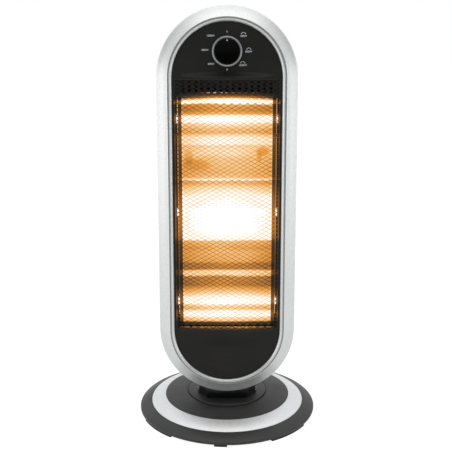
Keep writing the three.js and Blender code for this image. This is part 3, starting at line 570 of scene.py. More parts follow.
# ---------------------------------------------------------------- mesh helpers
def revolve(bm: Mesh, profile: Sequence[Pair], axis: str, steps: int, closed: bool = True) -> None:
    """Spins a profile into a full ring or solid of revolution about an axis through the origin.

    Args:
        bm: the mesh to add to.
        profile: radius and place along the axis, point by point.
        axis: "Y" or "Z".
        steps: facets round the ring; no vertex falls on the plane that halves it.
        closed: True to join the last point of the profile to the first.
    """
    half_step = math.pi / steps
    turn = Matrix.Rotation(half_step, 3, axis)
    verts = [bm.verts.new(turn @ Vector((r, t, 0.0) if axis == "Y" else (r, 0.0, t))) for r, t in profile]
    joints = list(zip(verts, verts[1:]))
    if closed:
        joints.append((verts[-1], verts[0]))
    edges = [bm.edges.new(pair) for pair in joints]
    bmesh.ops.spin(
        bm, geom=verts + edges, cent=(0, 0, 0), axis=(0, 1, 0) if axis == "Y" else (0, 0, 1),
        angle=2 * math.pi, steps=steps, use_merge=True,
    )
    bmesh.ops.remove_doubles(bm, verts=bm.verts, dist=0.002)


def stretch(bm: Mesh, spine: float) -> None:
    """Parts a ring at its middle and draws its halves apart along Z, which makes it a stadium.

    Args:
        bm: the mesh, revolved about Y.
        spine: half the length of the straight sides.
    """
    for sign in (1, -1):
        half = [v for v in bm.verts if v.co.z * sign > 0]
        bmesh.ops.translate(bm, vec=(0, 0, sign * spine), verts=half)


def soften(bm: Mesh, radius: float, segments: int = 2, sharper_than: float = 30.0) -> None:
    """Rounds every edge that is sharper than an angle.

    Args:
        bm: the mesh.
        radius: width of the rounding.
        segments: facets across it.
        sharper_than: least angle between the faces, in degrees.
    """
    limit = math.radians(sharper_than)
    edges = [e for e in bm.edges if e.is_manifold and e.calc_face_angle(0.0) > limit]
    bmesh.ops.bevel(
        bm, geom=edges, offset=radius, segments=segments, profile=0.5, affect="EDGES", clamp_overlap=True,
        material=-1,
    )


def divide(bm: Mesh, place: Point, normal: Point, trim: bool = False) -> None:
    """Cuts every face that a plane crosses.

    Args:
        bm: the mesh.
        place: a point of the plane.
        normal: the plane's normal.
        trim: True to delete what lies on the normal's side.
    """
    bmesh.ops.bisect_plane(
        bm, geom=list(bm.verts) + list(bm.edges) + list(bm.faces), dist=0.0001,
        plane_co=place, plane_no=normal, clear_outer=trim,
    )


def guard_bow(x: float) -> float:
    """How far the guard stands forward of its sides at a distance from its middle."""
    radius = (GUARD_HALF ** 2 + GUARD_BOW ** 2) / (2 * GUARD_BOW)
    return max(0.0, math.sqrt(max(0.0, radius ** 2 - x * x)) - radius + GUARD_BOW)


def block(bm: Mesh, low: Point, high: Point) -> list[bmesh.types.BMVert]:
    """Adds a box.

    Args:
        bm: the mesh to add to.
        low: the corner with the least coordinates.
        high: the corner with the greatest.

    Returns:
        The box's vertices.
    """
    size = [b - a for a, b in zip(low, high)]
    centre = [(a + b) / 2 for a, b in zip(low, high)]
    made = bmesh.ops.create_cube(bm, size=1.0)["verts"]
    bmesh.ops.scale(bm, vec=size, verts=made)
    bmesh.ops.translate(bm, vec=centre, verts=made)
    return made


def rod(bm: Mesh, radius: float, y0: float, y1: float, at: Pair, segments: int = 32) -> None:
    """Adds a cylinder along Y.

    Args:
        bm: the mesh to add to.
        radius: its radius.
        y0: the depth where it starts.
        y1: the depth where it ends.
        at: its place in X and Z.
        segments: facets round it.
    """
    made = bmesh.ops.create_cone(
        bm, cap_ends=True, segments=segments, radius1=radius, radius2=radius, depth=y1 - y0,
        matrix=Matrix.Translation((at[0], (y0 + y1) / 2, at[1])) @ UPRIGHT,
    )["verts"]
    bmesh.ops.recalc_face_normals(bm, faces=list({f for v in made for f in v.link_faces}))


def new_object(name: str, bm: Mesh, place: Matrix) -> bpy.types.Object:
    """Turns a bmesh into an object at the origin, with its place in its mesh.

    Args:
        name: the object's name.
        bm: the mesh, which is freed.
        place: transform from the mesh's own frame to the heater's.

    Returns:
        The object, linked to the scene.
    """
    mesh = bpy.data.meshes.new(name)
    bm.to_mesh(mesh)
    bm.free()
    mesh.transform(place)
    made = bpy.data.objects.new(name, mesh)
    bpy.context.scene.collection.objects.link(made)
    return made


def combine(piece: bpy.types.Object, tool: bpy.types.Object, operation: str) -> None:
    """Cuts or joins a piece with a tool, which is used up.

    Args:
        piece: the object that is kept.
        tool: the object that cuts or is joined.
        operation: "DIFFERENCE" or "UNION".
    """
    step = piece.modifiers.new("combine", "BOOLEAN")
    step.operation = operation
    step.object = tool
    step.solver = "EXACT"
    graph = bpy.context.evaluated_depsgraph_get()
    result = bpy.data.meshes.new_from_object(piece.evaluated_get(graph))
    piece.modifiers.clear()
    old = piece.data
    piece.data = result
    bpy.data.meshes.remove(old)
    bpy.data.objects.remove(tool)


def settle(
    piece: bpy.types.Object, body: str, finish: Finish, stands_for: Sequence[str] = (),
    crease: float = 32.0, second: Finish | None = None,
) -> bpy.types.Object:
    """Shades and dresses a finished piece, hangs it on its moving body and hides the frame's nodes that it stands
    for.

    Args:
        piece: the object.
        body: the moving body that it rides on.
        finish: its finish.
        stands_for: the frame's nodes that it replaces.
        crease: angle in degrees past which an edge stays sharp.
        second: finish of the faces that were given material number one.

    Returns:
        The object.
    """
    for layer in filter(None, (finish, second)):
        piece.data.materials.append(layer.material())
    piece.data.shade_smooth()
    piece.data.set_sharp_from_angle(angle=math.radians(crease))
    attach(piece, body)
    if stands_for:
        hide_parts(*stands_for)
    LOG.info("%s: %d faces on %s", piece.name, len(piece.data.polygons), body)
    return piece


def eased(node: str, radius: float) -> Mesh:
    """Copies a node of the frame, joins its loose triangles and rounds its sharp edges.

    Args:
        node: the node's name.
        radius: width of the rounding in millimetres.

    Returns:
        The new mesh, in metres and in place.
    """
    bm = bmesh.new()
    bm.from_mesh(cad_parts[node].data)
    bmesh.ops.remove_doubles(bm, verts=bm.verts, dist=0.01 * MM)
    bmesh.ops.dissolve_limit(bm, angle_limit=math.radians(1.0), verts=bm.verts, edges=bm.edges)
    soften(bm, radius * MM)
    return bm


@dataclass
class SubAssembly:
    """Pieces that are made, dressed and carried together.

    Attributes:
        body: the moving body that the pieces ride on.
    """

    body: str

    def build(self) -> None:
        """Makes and dresses every piece."""
        raise NotImplementedError

    def ease(self, node: str, slot: str, finish: Finish, radius: float = 0.4) -> bpy.types.Object:
        """Replaces a node by a copy with rounded edges.

        Args:
            node: the node's name.
            slot: the record's material slot; not used.
            finish: the copy's finish.
            radius: width of the rounding in millimetres.

        Returns:
            The new piece.
        """
        piece = new_object(f"{node}_eased", eased(node, radius), IN_PLACE)
        return settle(piece, self.body, finish, (node,))

    def ease_screws(self, name: str) -> None:
        """Eases the four screws that share a name."""
        for number in range(1, 5):
            self.ease(f"{name}_{number}", "black_steel", Finishes.SCREW_STEEL, 0.3)

    def add(
        self, name: str, bm: Mesh, slot: str, finish: Finish, stands_for: Sequence[str] = (),
        crease: float = 32.0, second: Finish | None = None, place: Matrix = HEAD_PLACE,
    ) -> None:
        """Turns a mesh's faces outwards and makes it a piece.

        Args:
            name: the piece's name.
            bm: the mesh, which is freed.
            slot: the record's material slot; not used.
            finish: its finish.
            stands_for: the frame's nodes that it replaces.
            crease: angle in degrees past which an edge stays sharp.
            second: finish of the faces that were given material number one.
            place: transform from the mesh's own frame to the heater's.
        """
        bmesh.ops.recalc_face_normals(bm, faces=bm.faces)
        settle(new_object(name, bm, place), self.body, finish, stands_for, crease, second)

    @staticmethod
    def repaint(nodes: Iterable[str], finish: Finish) -> None:
        """Gives nodes of the frame a finish and leaves their shape alone."""
        for node in nodes:
            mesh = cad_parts[node].data
            mesh.materials.clear()
            mesh.materials.append(finish.material())
            LOG.info("%s: frame node in %s", node, finish.name)


# ---------------------------------------------------------------- foot
@dataclass
class Foot(SubAssembly):
    """Round foot: a sloping dome with a silver ring let into it, on rubber pads."""

    body: str = "base"
    steps: int = 160
    rim_radius: float = 135.0
    rim_top: float = 6.9
    rim_bottom: float = 3.0
    rim_wall: float = 2.6
    ring_outer: Pair = (117.2, 14.6)
    ring_inner: Pair = (95.2, 23.3)
    ring_thickness: float = 1.3
    dome_top: Pair = (61.6, 28.0)
    seat: Pair = (61.1, 27.2)  # flat that the turntable slides on
    hub_hole: float = 10.3
    wall: float = 3.4
    gap: float = 0.3
    gland: Pair = (8.7, 3.9)  # height and radius
    proud: float = 0.1  # height of the ring above the slope

    def ring_height(self, radius: float) -> float:
        """Height of the dome's slope under the ring at a radius."""
        (r0, z0), (r1, z1) = self.ring_outer, self.ring_inner
        return z0 + (z1 - z0) * (r0 - radius) / (r0 - r1)

    def cover_profile(self) -> list[Pair]:
        """Section of the cover: outside from the rim to the hub hole, then back inside."""
        (r0, z0), (r1, z1), (r2, z2) = self.ring_outer, self.ring_inner, self.dome_top
        recess = self.ring_thickness + self.gap
        crown = [
            (r1 + (r2 - r1) * i / 8, z1 + (z2 - z1) * math.sin(math.pi / 2 * i / 8)) for i in range(1, 9)
        ]
        inner = self.rim_radius - self.rim_wall
        under = self.seat[1] - self.wall + 0.6
        return [
            (inner, self.rim_bottom), (self.rim_radius, self.rim_bottom), (self.rim_radius, self.rim_top - 0.8),
            (self.rim_radius - 1, self.rim_top), (r0, z0), (r0, z0 - recess), (r1, z1 - recess), (r1, z1), *crown,
            self.seat, (self.hub_hole, self.seat[1]), (self.hub_hole, under), (r2, under),
            (r1, z1 - self.wall), (r0, z0 - self.wall), (inner, self.rim_bottom + 1.6),
        ]

    def cover(self) -> None:
        """Makes the dome with the hole for the cord gland."""
        bm = bmesh.new()
        revolve(bm, self.cover_profile(), "Z", self.steps)
        soften(bm, 0.5, sharper_than=25.0)
        bmesh.ops.recalc_face_normals(bm, faces=bm.faces)
        piece = new_object("foot_dome", bm, BASE_PLACE)
        hole = bmesh.new()
        height, radius = self.gland
        rod(hole, radius + self.gap, self.rim_radius - 30, self.rim_radius + 5, (0, height))
        combine(piece, new_object("gland_hole", hole, BASE_PLACE), "DIFFERENCE")
        settle(piece, self.body, Finishes.CHARCOAL, ("base_cover",))

    def ring(self) -> None:
        """Makes the silver ring that stands a hair above the slope."""
        outer = self.ring_outer[0] - self.gap
        inner = self.ring_inner[0] + self.gap
        bm = bmesh.new()
        under = -self.ring_thickness
        corners = ((outer, self.proud), (inner, self.proud), (inner, under), (outer, under))
        revolve(bm, [(radius, self.ring_height(radius) + lift) for radius, lift in corners], "Z", self.steps)
        soften(bm, 0.35)
        self.add("foot_ring", bm, "silver_lacquer", Finishes.RING_SILVER, ("base_ring",), place=BASE_PLACE)

    def build(self) -> None:
        """Makes the dome and ring and dresses what is under them."""
        self.cover()
        self.ring()
        for place in ("front", "front_left", "front_right", "rear_right", "rear_left"):
            self.ease(f"foot_{place}", "rubber", Finishes.RUBBER)
        self.ease("base_plate", "sheet_steel", Finishes.ZINC, 0.3)
        self.ease("cord_gland", "rubber", Finishes.RUBBER, 0.5)
        self.ease_screws("base_screw")
        self.repaint(("ballast_ring",), Finishes.IRON)
        self.repaint(("oscillation_motor", "motor_screw_1", "motor_screw_2"), Finishes.ZINC)
        self.repaint(("tip_switch",), Finishes.PHENOLIC)
        self.repaint(("terminal_block",), Finishes.STEATITE)


@dataclass
class Drive(SubAssembly):
    """Crank under the turntable and the plunger of the tip-over switch."""

    body: str = "crank"

    def build(self) -> None:
        """Dresses the two moving pieces inside the foot."""
        self.repaint(("crank_disc",), Finishes.NYLON)
        self.repaint(("tip_plunger",), Finishes.RUBBER)


@dataclass
class Turntable(SubAssembly):
    """Turntable, its drive arm and the neck that carries the head."""

    body: str = "head"

    def build(self) -> None:
        """Makes the eased pieces that show and dresses the rest."""
        self.ease("turntable", "satin_black_plastic", Finishes.CHARCOAL, 0.5)
        self.ease("neck", "matt_black_plastic", Finishes.GLOSS_BLACK, 1.6)
        for side in ("left", "right"):
            self.ease(f"neck_screw_{side}", "black_steel", Finishes.ZINC, 0.3)
        self.repaint(("drive_arm", "hub_screw"), Finishes.ZINC)


# ---------------------------------------------------------------- head
@dataclass
class Head(SubAssembly):
    """Bezel, front panel and rear housing: three stadium-shaped mouldings."""

    body: str = "head"
    steps: int = 144
    spine: float = 184.0
    radius: float = 100.25
    seam: float = -18.0
    draft: float = 0.38  # the bezel's side leans in by this much towards the front
    face_outer: Pair = (99.65, -30.4)
    face_inner: Pair = (84.2, -40.6)
    face_crown: float = 0.7
    groove_edge: float = -40.8
    back_ledge: float = 80.4
    back_turns: tuple[Pair, Pair] = ((84.6, -37.2), (97.9, -28.6))  # inside of the sloping face
    groove: tuple[float, float, float] = (83.3, 81.5, -39.2)
    lip_front: float = -42.3
    lip_radius: float = 77.6
    ledge_radius: float = 73.8
    panel_radius: float = 77.3
    panel_front: float = -39.0
    panel_thickness: float = 2.5
    window: tuple[float, float, float] = (72.5, -179.0, 157.5)  # half width, bottom, top
    slots: tuple[int, float, float] = (15, 8.8, 2.1)  # count, pitch, half width
    slot_span: Pair = (163.2, 183.1)
    swell_runs: Pair = (36.0, 9.0)  # lengths over which the swellings run out, below and above the guard
    back: float = 45.0
    wall: float = 2.6
    side_run: float = 10.0
    crown_width: float = 60.25
    grip: dict[str, float] = field(default_factory=lambda: {
        "half": 46.0, "low": 188.0, "high": 218.0, "hook": 12.0, "front": 20.0, "wall": 2.4, "lip": 7.0,
    })
    boss: Pair = (77.9, 229.0)
    louvre_starts: Pair = (56.0, -140.0)  # height of the lowest louvre of each field
    louvre_pitch: float = 13.0
    louvre_reach: Pair = (5.0, 42.0)  # from the middle to each side
    louvre_height: float = 5.0
    tongue: tuple[float, float, float, float] = (28.3, -24.3, 8.3, 66.3)  # in the foot's frame

    def bezel(self) -> None:
        """Makes the silver bezel: a crowned sloping face, a groove and a raised lip round the panel."""
        (r0, y0), (r1, y1) = self.face_outer, self.face_inner
        run = Vector((r1 - r0, y1 - y0))
        out = Vector((-run.y, run.x)).normalized() * -1
        face = []
        for i in range(11):
            share = i / 10
            point = Vector((r0, y0)) + run * share + out * self.face_crown * math.sin(math.pi * share)
            face.append((point.x, point.y))
        g0, g1, gy = self.groove
        ledge = self.panel_front + self.panel_thickness + 0.3
        profile = [
            (self.radius, self.seam), (self.radius - self.draft, y0 + 1.2), *face,
            (g0 + 0.2, self.groove_edge), (g0, gy), (g1, gy),
            (g1 - 0.1, self.lip_front + 0.5), (g1 - 0.6, self.lip_front), (g1 - 1.2, self.lip_front + 0.1),
            (self.lip_radius + 0.6, self.lip_front + 1.6), (self.lip_radius, self.lip_front + 2.6),
            (self.lip_radius, ledge), (self.ledge_radius, ledge), (self.ledge_radius, ledge + 1.8),
            (self.back_ledge, ledge + 1.8), *self.back_turns, (self.back_turns[1][0], self.seam),
        ]
        bm = bmesh.new()
        revolve(bm, profile, "Y", self.steps)
        stretch(bm, self.spine)
        soften(bm, 0.3, sharper_than=40.0)
        # the groove's faces take the darker lacquer, which is painted shade
        for one in bm.faces:
            centre = one.calc_center_median()
            away = math.hypot(centre.x, max(0.0, abs(centre.z) - self.spine))
            if g1 - 0.3 < away < g0 + 0.5 and centre.y > self.lip_front + 1.0:
                one.material_index = 1
        self.add("silver_bezel", bm, "silver_lacquer", Finishes.SILVER, ("front_bezel",),
                 second=Finishes.SILVER_GROOVE_SHADE)

    def swelling(self, x: float, z: float) -> float:
        """How far the panel stands forward to meet the bowed ends of the guard."""
        low, high = GUARD_SPAN
        if z <= low + 2:
            run = 1 - min(1.0, max(0.0, (low - z) / self.swell_runs[0]))
        elif z >= high:
            run = 1 - min(1.0, (z - high) / self.swell_runs[1])
        else:
            return 0.0
        return guard_bow(x) * (0.5 - 0.5 * math.cos(math.pi * run))

    def panel(self) -> None:
        """Makes the black front panel with its window, its row of slots and its swellings."""
        count, pitch, half = self.slots
        wide, bottom, top = self.window
        low, high = self.slot_span
        bm = bmesh.new()
        bmesh.ops.create_circle(
            bm, cap_ends=True, radius=self.panel_radius, segments=self.steps,
            matrix=Matrix.Rotation(math.pi / self.steps, 4, "Y") @ UPRIGHT,
        )
        stretch(bm, self.spine)
        centres = [(i - (count - 1) / 2) * pitch for i in range(count)]
        guard_low, guard_high = GUARD_SPAN
        columns = sorted([-wide, wide, -GUARD_HALF, GUARD_HALF] + [x + s * half for x in centres for s in (-1, 1)])
        rows = [bottom, top, low, high]
        rows += [guard_low + 1 - (self.swell_runs[0] + 1) * i / 14 for i in range(15)]
        rows += [guard_high + self.swell_runs[1] * i / 5 for i in range(6)]
        cuts = [((x, 0, 0), (1, 0, 0)) for x in columns] + [((0, 0, z), (0, 0, 1)) for z in rows]
        for place, normal in cuts:
            divide(bm, place, normal)

        def is_open(x: float, z: float) -> bool:
            """True inside the window or a slot."""
            in_slot = low < z < high and any(abs(x - c) < half for c in centres)
            return in_slot or (abs(x) < wide and bottom < z < top)

        gone = [f for f in bm.faces if is_open(f.calc_center_median().x, f.calc_center_median().z)]
        bmesh.ops.delete(bm, geom=gone, context="FACES")
        for vert in bm.verts:
            vert.co.y = self.panel_front - self.swelling(vert.co.x, vert.co.z)
        bmesh.ops.recalc_face_normals(bm, faces=bm.faces)
        if sum(f.normal.y for f in bm.faces) > 0:
            bmesh.ops.reverse_faces(bm, faces=bm.faces)
        bmesh.ops.solidify(bm, geom=bm.faces, thickness=self.panel_thickness)
        soften(bm, 0.3, sharper_than=60.0)
        self.add("black_front_panel", bm, "satin_black_plastic", Finishes.PANEL_BLACK, ("front_panel",), 40.0)

    def housing_profile(self) -> list[Pair]:
        """Outer section of the rear housing, from the seam to the flat of its back."""
        depth = self.back - self.seam - self.side_run
        curve = []
        for i in range(19):
            turn = math.pi / 2 * i / 18
            curve.append((
                self.radius - self.crown_width * (1 - max(0.0, math.cos(turn)) ** 0.6),
                self.seam + self.side_run + depth * math.sin(turn),
            ))
        return [(self.radius, self.seam + 0.3), *curve]

    def housing(self) -> None:
        """Makes the rear housing with its grip, louvres, screw pockets and the mouth for the neck."""
        outer = self.housing_profile()
        inner = [(r - self.wall, y - (self.wall * 0.7 if y > 0 else 0)) for r, y in outer]
        inner[-1] = (outer[-1][0], self.back - self.wall)
        bm = bmesh.new()
        profile = [(0.0, self.back), *reversed(outer), *inner, (0.0, self.back - self.wall)]
        revolve(bm, profile, "Y", self.steps, closed=False)
        stretch(bm, self.spine)
        bmesh.ops.recalc_face_normals(bm, faces=bm.faces)
        piece = new_object("black_rear_housing", bm, HEAD_PLACE)

        g = self.grip
        cuts = bmesh.new()
        block(cuts, (-g["half"], g["front"], g["low"]), (g["half"], self.back + 5, g["high"]))
        soften(cuts, 3.0, 4)
        for row in range(6):
            for side in (-1, 1):
                for start in self.louvre_starts:
                    z = start + self.louvre_pitch * row
                    x0, x1 = sorted(side * x for x in self.louvre_reach)
                    made = block(cuts, (x0, self.back - 8, z), (x1, self.back + 3, z + self.louvre_height))
                    ends = {e for v in made for e in v.link_edges if abs(e.verts[0].co.y - e.verts[1].co.y) > 1}
                    bmesh.ops.bevel(cuts, geom=list(ends), offset=2.4, segments=5, profile=0.5, affect="EDGES",
                                    clamp_overlap=True, material=-1)
        for sx in (-1, 1):
            for sz in (-1, 1):
                rod(cuts, 3.7, 5.0, self.back + 5, (sx * self.boss[0], sz * self.boss[1]))
        combine(piece, new_object("louvre_cuts", cuts, HEAD_PLACE), "DIFFERENCE")
        mouth = bmesh.new()
        wide, front, rear, top = self.tongue
        block(mouth, (-wide, front, 30.0), (wide, rear, top))
        combine(piece, new_object("neck_mouth", mouth, BASE_PLACE), "DIFFERENCE")
        settle(piece, self.body, Finishes.SATIN_BLACK, ("rear_housing",), 35.0)

    def build(self) -> None:
        """Makes the three mouldings and eases the screws that hold them."""
        self.bezel()
        self.panel()
        self.housing()
        self.ease("grip_cup", "satin_black_plastic", Finishes.SATIN_BLACK, 0.5)
        self.ease_screws("housing_screw")


@dataclass
class Guard(SubAssembly):
    """Expanded steel guard: zigzag strands bonded at their knots, bowed forward between two flat edges."""

    body: str = "head"
    seat: float = -39.3  # back of the sheet at its sides
    thickness: float = 0.8
    long_way: float = 10.9  # width of an opening, knot to knot
    short_way: float = 6.0  # height of an opening, knot to knot
    strand: float = 0.75
    knot: float = 1.4
    tilt: float = math.radians(30)  # strands of raised mesh are turned out of the sheet
    edge: float = 2.0

    def draw_strand(self, bm: Mesh) -> list[bmesh.types.BMVert]:
        """Extrudes one zigzag strand across the sheet and returns its vertices."""
        swing = (self.short_way / 2 - self.strand) / 2
        half = self.knot / 2
        stations: list[Pair] = []
        x = -GUARD_HALF - self.long_way
        while x < GUARD_HALF + self.long_way:
            stations += [(x - half, swing), (x + half, swing)]
            stations += [(x + self.long_way / 2 - half, -swing), (x + self.long_way / 2 + half, -swing)]
            x += self.long_way
        turn = Matrix.Rotation(self.tilt, 3, "X")
        corners = [(-0.5, -0.5), (0.5, -0.5), (0.5, 0.5), (-0.5, 0.5)]
        depth = self.thickness * 0.75
        loop = [bm.verts.new(turn @ Vector((0, y * depth, z * self.strand))) for y, z in corners]
        edges = [bm.edges.new(pair) for pair in zip(loop, loop[1:] + loop[:1])]
        x0, z0 = stations[0]
        bmesh.ops.translate(bm, vec=(x0, 0, z0), verts=loop)
        for (xa, za), (xb, zb) in zip(stations, stations[1:]):
            made = bmesh.ops.extrude_edge_only(bm, edges=edges)["geom"]
            edges = [g for g in made if isinstance(g, bmesh.types.BMEdge)]
            moved = [g for g in made if isinstance(g, bmesh.types.BMVert)]
            bmesh.ops.translate(bm, vec=(xb - xa, 0, zb - za), verts=moved)
        return list(bm.verts)

    def build(self) -> None:
        """Repeats the strand up the sheet, trims it, frames it and bends it."""
        bm = bmesh.new()
        bottom, top = GUARD_SPAN
        strand = self.draw_strand(bm)
        source = strand + list(bm.edges) + list(bm.faces)
        pitch = self.short_way / 2
        rows = int((top - bottom - self.edge) / pitch)
        first = (top + bottom) / 2 - pitch * (rows - 1) / 2
        bmesh.ops.translate(bm, vec=(0, 0, first), verts=strand)
        for row in range(1, rows):
            copy = bmesh.ops.duplicate(bm, geom=source)["geom"]
            shift = self.long_way / 2 if row % 2 else 0.0
            bmesh.ops.translate(bm, vec=(shift, 0, pitch * row),
                                verts=[g for g in copy if isinstance(g, bmesh.types.BMVert)])
        for sign in (-1, 1):
            divide(bm, (sign * (GUARD_HALF - 0.5), 0, 0), (sign, 0, 0), trim=True)
        half = self.thickness / 2
        for sign in (-1, 1):
            x0, x1 = sorted((sign * GUARD_HALF, sign * (GUARD_HALF - self.edge)))
            block(bm, (x0, -half, bottom), (x1, half, top))
        pieces = 30
        for z0, z1 in ((bottom, bottom + self.edge), (top - self.edge, top)):
            strip = bmesh.new()
            block(strip, (-GUARD_HALF, -half, z0), (GUARD_HALF, half, z1))
            for i in range(1, pieces):
                x = -GUARD_HALF + 2 * GUARD_HALF * i / pieces
                divide(strip, (x, 0, 0), (1, 0, 0))
            spare = bpy.data.meshes.new("strip")
            strip.to_mesh(spare)
            strip.free()
            bm.from_mesh(spare)
            bpy.data.meshes.remove(spare)
        for vert in bm.verts:
            vert.co.y += self.seat - half - guard_bow(vert.co.x)
        self.add("expanded_guard", bm, "black_steel", Finishes.GUARD, ("guard_mesh",), 50.0)


@dataclass
class Lamps(SubAssembly):
    """Three quartz lamps between ceramic caps, with the sheet metal round them."""

    body: str = "head"
    heights: tuple[float, float, float] = (124.7, -12.0, -147.5)
    depth: float = -10.0
    coil_radius: float = 2.0
    coil_half: float = 62.0
    turns: int = 62
    wire: float = 0.35
    steps_each: int = 10  # steps per turn

    def coil(self, name: str, height: float) -> None:
        """Winds one filament by stepping a small ring of wire round and along the lamp.

        Args:
            name: the lamp's name.
            height: its height in the head's frame.
        """
        bm = bmesh.new()
        start = bmesh.ops.create_circle(
            bm, segments=5, radius=self.wire,
            matrix=Matrix.Translation((-self.coil_half, 0, self.coil_radius)) @ Matrix.Rotation(math.pi / 2, 4, "Y")
            @ UPRIGHT,
        )["verts"]
        steps = self.turns * self.steps_each
        bmesh.ops.spin(
            bm, geom=start + list(bm.edges), cent=(-self.coil_half, 0, 0), axis=(1, 0, 0),
            angle=2 * math.pi * self.turns, steps=steps, dvec=(2 * self.coil_half / steps, 0, 0),
        )
        bmesh.ops.holes_fill(bm, edges=[e for e in bm.edges if e.is_boundary])
        bmesh.ops.translate(bm, vec=(0, self.depth, height), verts=bm.verts)
        self.add(f"tungsten_coil_{name}", bm, "tungsten", Finishes.TUNGSTEN, (f"filament_{name}",), 60.0)

    def build(self) -> None:
        """Winds the filaments and dresses tubes, caps, reflector and shields."""
        for name, height in zip(("upper", "middle", "lower"), self.heights):
            self.coil(name, height)
            self.ease(f"quartz_tube_{name}", "quartz", Finishes.QUARTZ, 0.4)
            for side in ("left", "right"):
                self.ease(f"end_cap_{name}_{side}", "ceramic", Finishes.STEATITE, 0.3)
        self.repaint(("reflector",), Finishes.REFLECTOR)
        self.repaint(("reflector_side_left", "reflector_side_right"), Finishes.FLANGE)
        self.repaint(("heat_shield",), Finishes.SHIELD)
        self.repaint(("lamp_rail_left", "lamp_rail_right"), Finishes.ZINC)
        self.repaint(("thermal_cutout",), Finishes.PHENOLIC)


class Swing(Enum):
    """Whether a dial mark is for a heat setting with the head still or swinging."""

    STILL = 0
    SWINGING = 1


@dataclass
class Dial(SubAssembly):
    """Rotary control: knob with a pointer, its ring, and the marks printed round it."""

    body: str = "knob"
    height: float = 220.7
    panel: float = -39.0
    front: float = -57.0
    radius: float = 18.0
    shaft: float = 3.3
    skirt: float = -39.4
    rounding: float = 1.9  # of the rim
    dish: float = 0.8
    bore_depth: float = 5.7
    side_start: float = -46.0
    pointer_inset: float = 2.6  # of the pointer's middle, from the knob's edge
    text_size: float = 3.7
    print_height: float = 0.03
    sign_radius: float = 3.1
    sign_width: float = 0.75
    sign_reach: float = math.radians(58)  # half the arc of a swing sign
    sign_lift: float = 4.2  # of a swing sign above its setting
    marks: tuple[tuple[str, float, float, Swing], ...] = (
        ("0", 0.0, 247.3, Swing.STILL), ("0", 0.0, 195.6, Swing.STILL),
        ("1200W", -22.9, 241.8, Swing.STILL), ("800W", -30.6, 222.4, Swing.STILL),
        ("400W", -22.4, 203.3, Swing.STILL), ("400W", 22.7, 241.2, Swing.SWINGING),
        ("800W", 30.1, 220.2, Swing.SWINGING), ("1200W", 21.8, 201.6, Swing.SWINGING),
    )

    def knob(self) -> None:
        """Makes the cap with a dished face and rounded rim, and the pointer let into it."""
        face = [(self.radius - 4.0, self.front + 0.55), (self.radius - 2.6, self.front + 0.05)]
        rim = []
        for i in range(7):
            turn = math.pi / 2 * i / 6
            rim.append((
                self.radius - 2.2 + self.rounding * math.sin(turn),
                self.front + self.rounding - self.rounding * math.cos(turn),
            ))
        bm = bmesh.new()
        revolve(bm, [
            (0.0, self.front + self.dish), *face, *rim, (self.radius, self.side_start), (self.radius, self.skirt),
            (self.shaft, self.skirt), (self.shaft, self.front + self.bore_depth), (0.0, self.front + self.bore_depth),
        ], "Y", 96, closed=False)
        bmesh.ops.translate(bm, vec=(0, 0, self.height), verts=bm.verts)
        self.add("dial_cap", bm, "matt_black_plastic", Finishes.KNOB_BLACK, ("knob",))
        pointer = bmesh.new()
        place = self.height + self.radius - self.pointer_inset
        tick = bmesh.ops.create_cone(
            pointer, cap_ends=True, segments=3, radius1=1.25, radius2=1.25, depth=0.6,
            matrix=Matrix.Translation((0, self.front + 0.3, place)) @ UPRIGHT,
        )["verts"]
        bmesh.ops.scale(pointer, vec=(1.0, 1.0, 1.6), verts=tick, space=Matrix.Translation((0, 0, -place)))
        self.add("dial_pointer", pointer, "silver_lacquer", Finishes.INK)

    def print_text(self, words: str, x: float, z: float) -> bpy.types.Mesh:
        """Prints words centred on a place of the panel.

        Args:
            words: the text.
            x: its middle, across.
            z: its middle, up.

        Returns:
            The flat mesh.
        """
        curve = bpy.data.curves.new("mark", "FONT")
        curve.body = words
        curve.size = self.text_size
        curve.align_x = "CENTER"
        curve.align_y = "CENTER"
        curve.extrude = self.print_height
        curve.offset = 0.10
        curve.resolution_u = 3
        source = bpy.data.objects.new("mark", curve)
        bpy.context.scene.collection.objects.link(source)
        graph = bpy.context.evaluated_depsgraph_get()
        mesh = bpy.data.meshes.new_from_object(source.evaluated_get(graph))
        bpy.data.objects.remove(source)
        mesh.transform(Matrix.Translation((x, self.panel - self.print_height, z)) @ UPRIGHT)
        return mesh

    def swing_sign(self, bm: Mesh, x: float, z: float) -> None:
        """Adds the arc with an arrow head at each end that stands for a swinging head.

        Args:
            bm: the mesh to add to.
            x: its middle, across.
            z: its middle, up.
        """
        radius, width, reach = self.sign_radius, self.sign_width, self.sign_reach
        centre = Vector((x, self.panel - self.print_height, z - 2.2))
        verts = [bm.verts.new(centre + Matrix.Rotation(-reach, 3, "Y") @ Vector((0, 0, r)))
                 for r in (radius - width / 2, radius + width / 2)]
        edge = bm.edges.new(verts)
        bmesh.ops.spin(bm, geom=verts + [edge], cent=centre, axis=(0, 1, 0), angle=2 * reach, steps=12)
        for sign in (-1, 1):
            bmesh.ops.create_circle(
                bm, cap_ends=True, segments=3, radius=1.0,
                matrix=Matrix.Translation(centre) @ Matrix.Rotation(sign * (reach + 0.16), 4, "Y")
                @ Matrix.Translation((0, 0, radius)) @ Matrix.Rotation(sign * math.pi / 2, 4, "Y") @ UPRIGHT,
            )

    def print_marks(self) -> None:
        """Prints every mark and joins them to one piece."""
        bm = bmesh.new()
        for words, x, z, swing in self.marks:
            mark = self.print_text(words, x, z)
            bm.from_mesh(mark)
            bpy.data.meshes.remove(mark)
            if swing is Swing.SWINGING:
                self.swing_sign(bm, x, z + self.sign_lift)
        bmesh.ops.remove_doubles(bm, verts=bm.verts, dist=0.001)
        settle(new_object("dial_print", bm, HEAD_PLACE), "head", Finishes.INK)

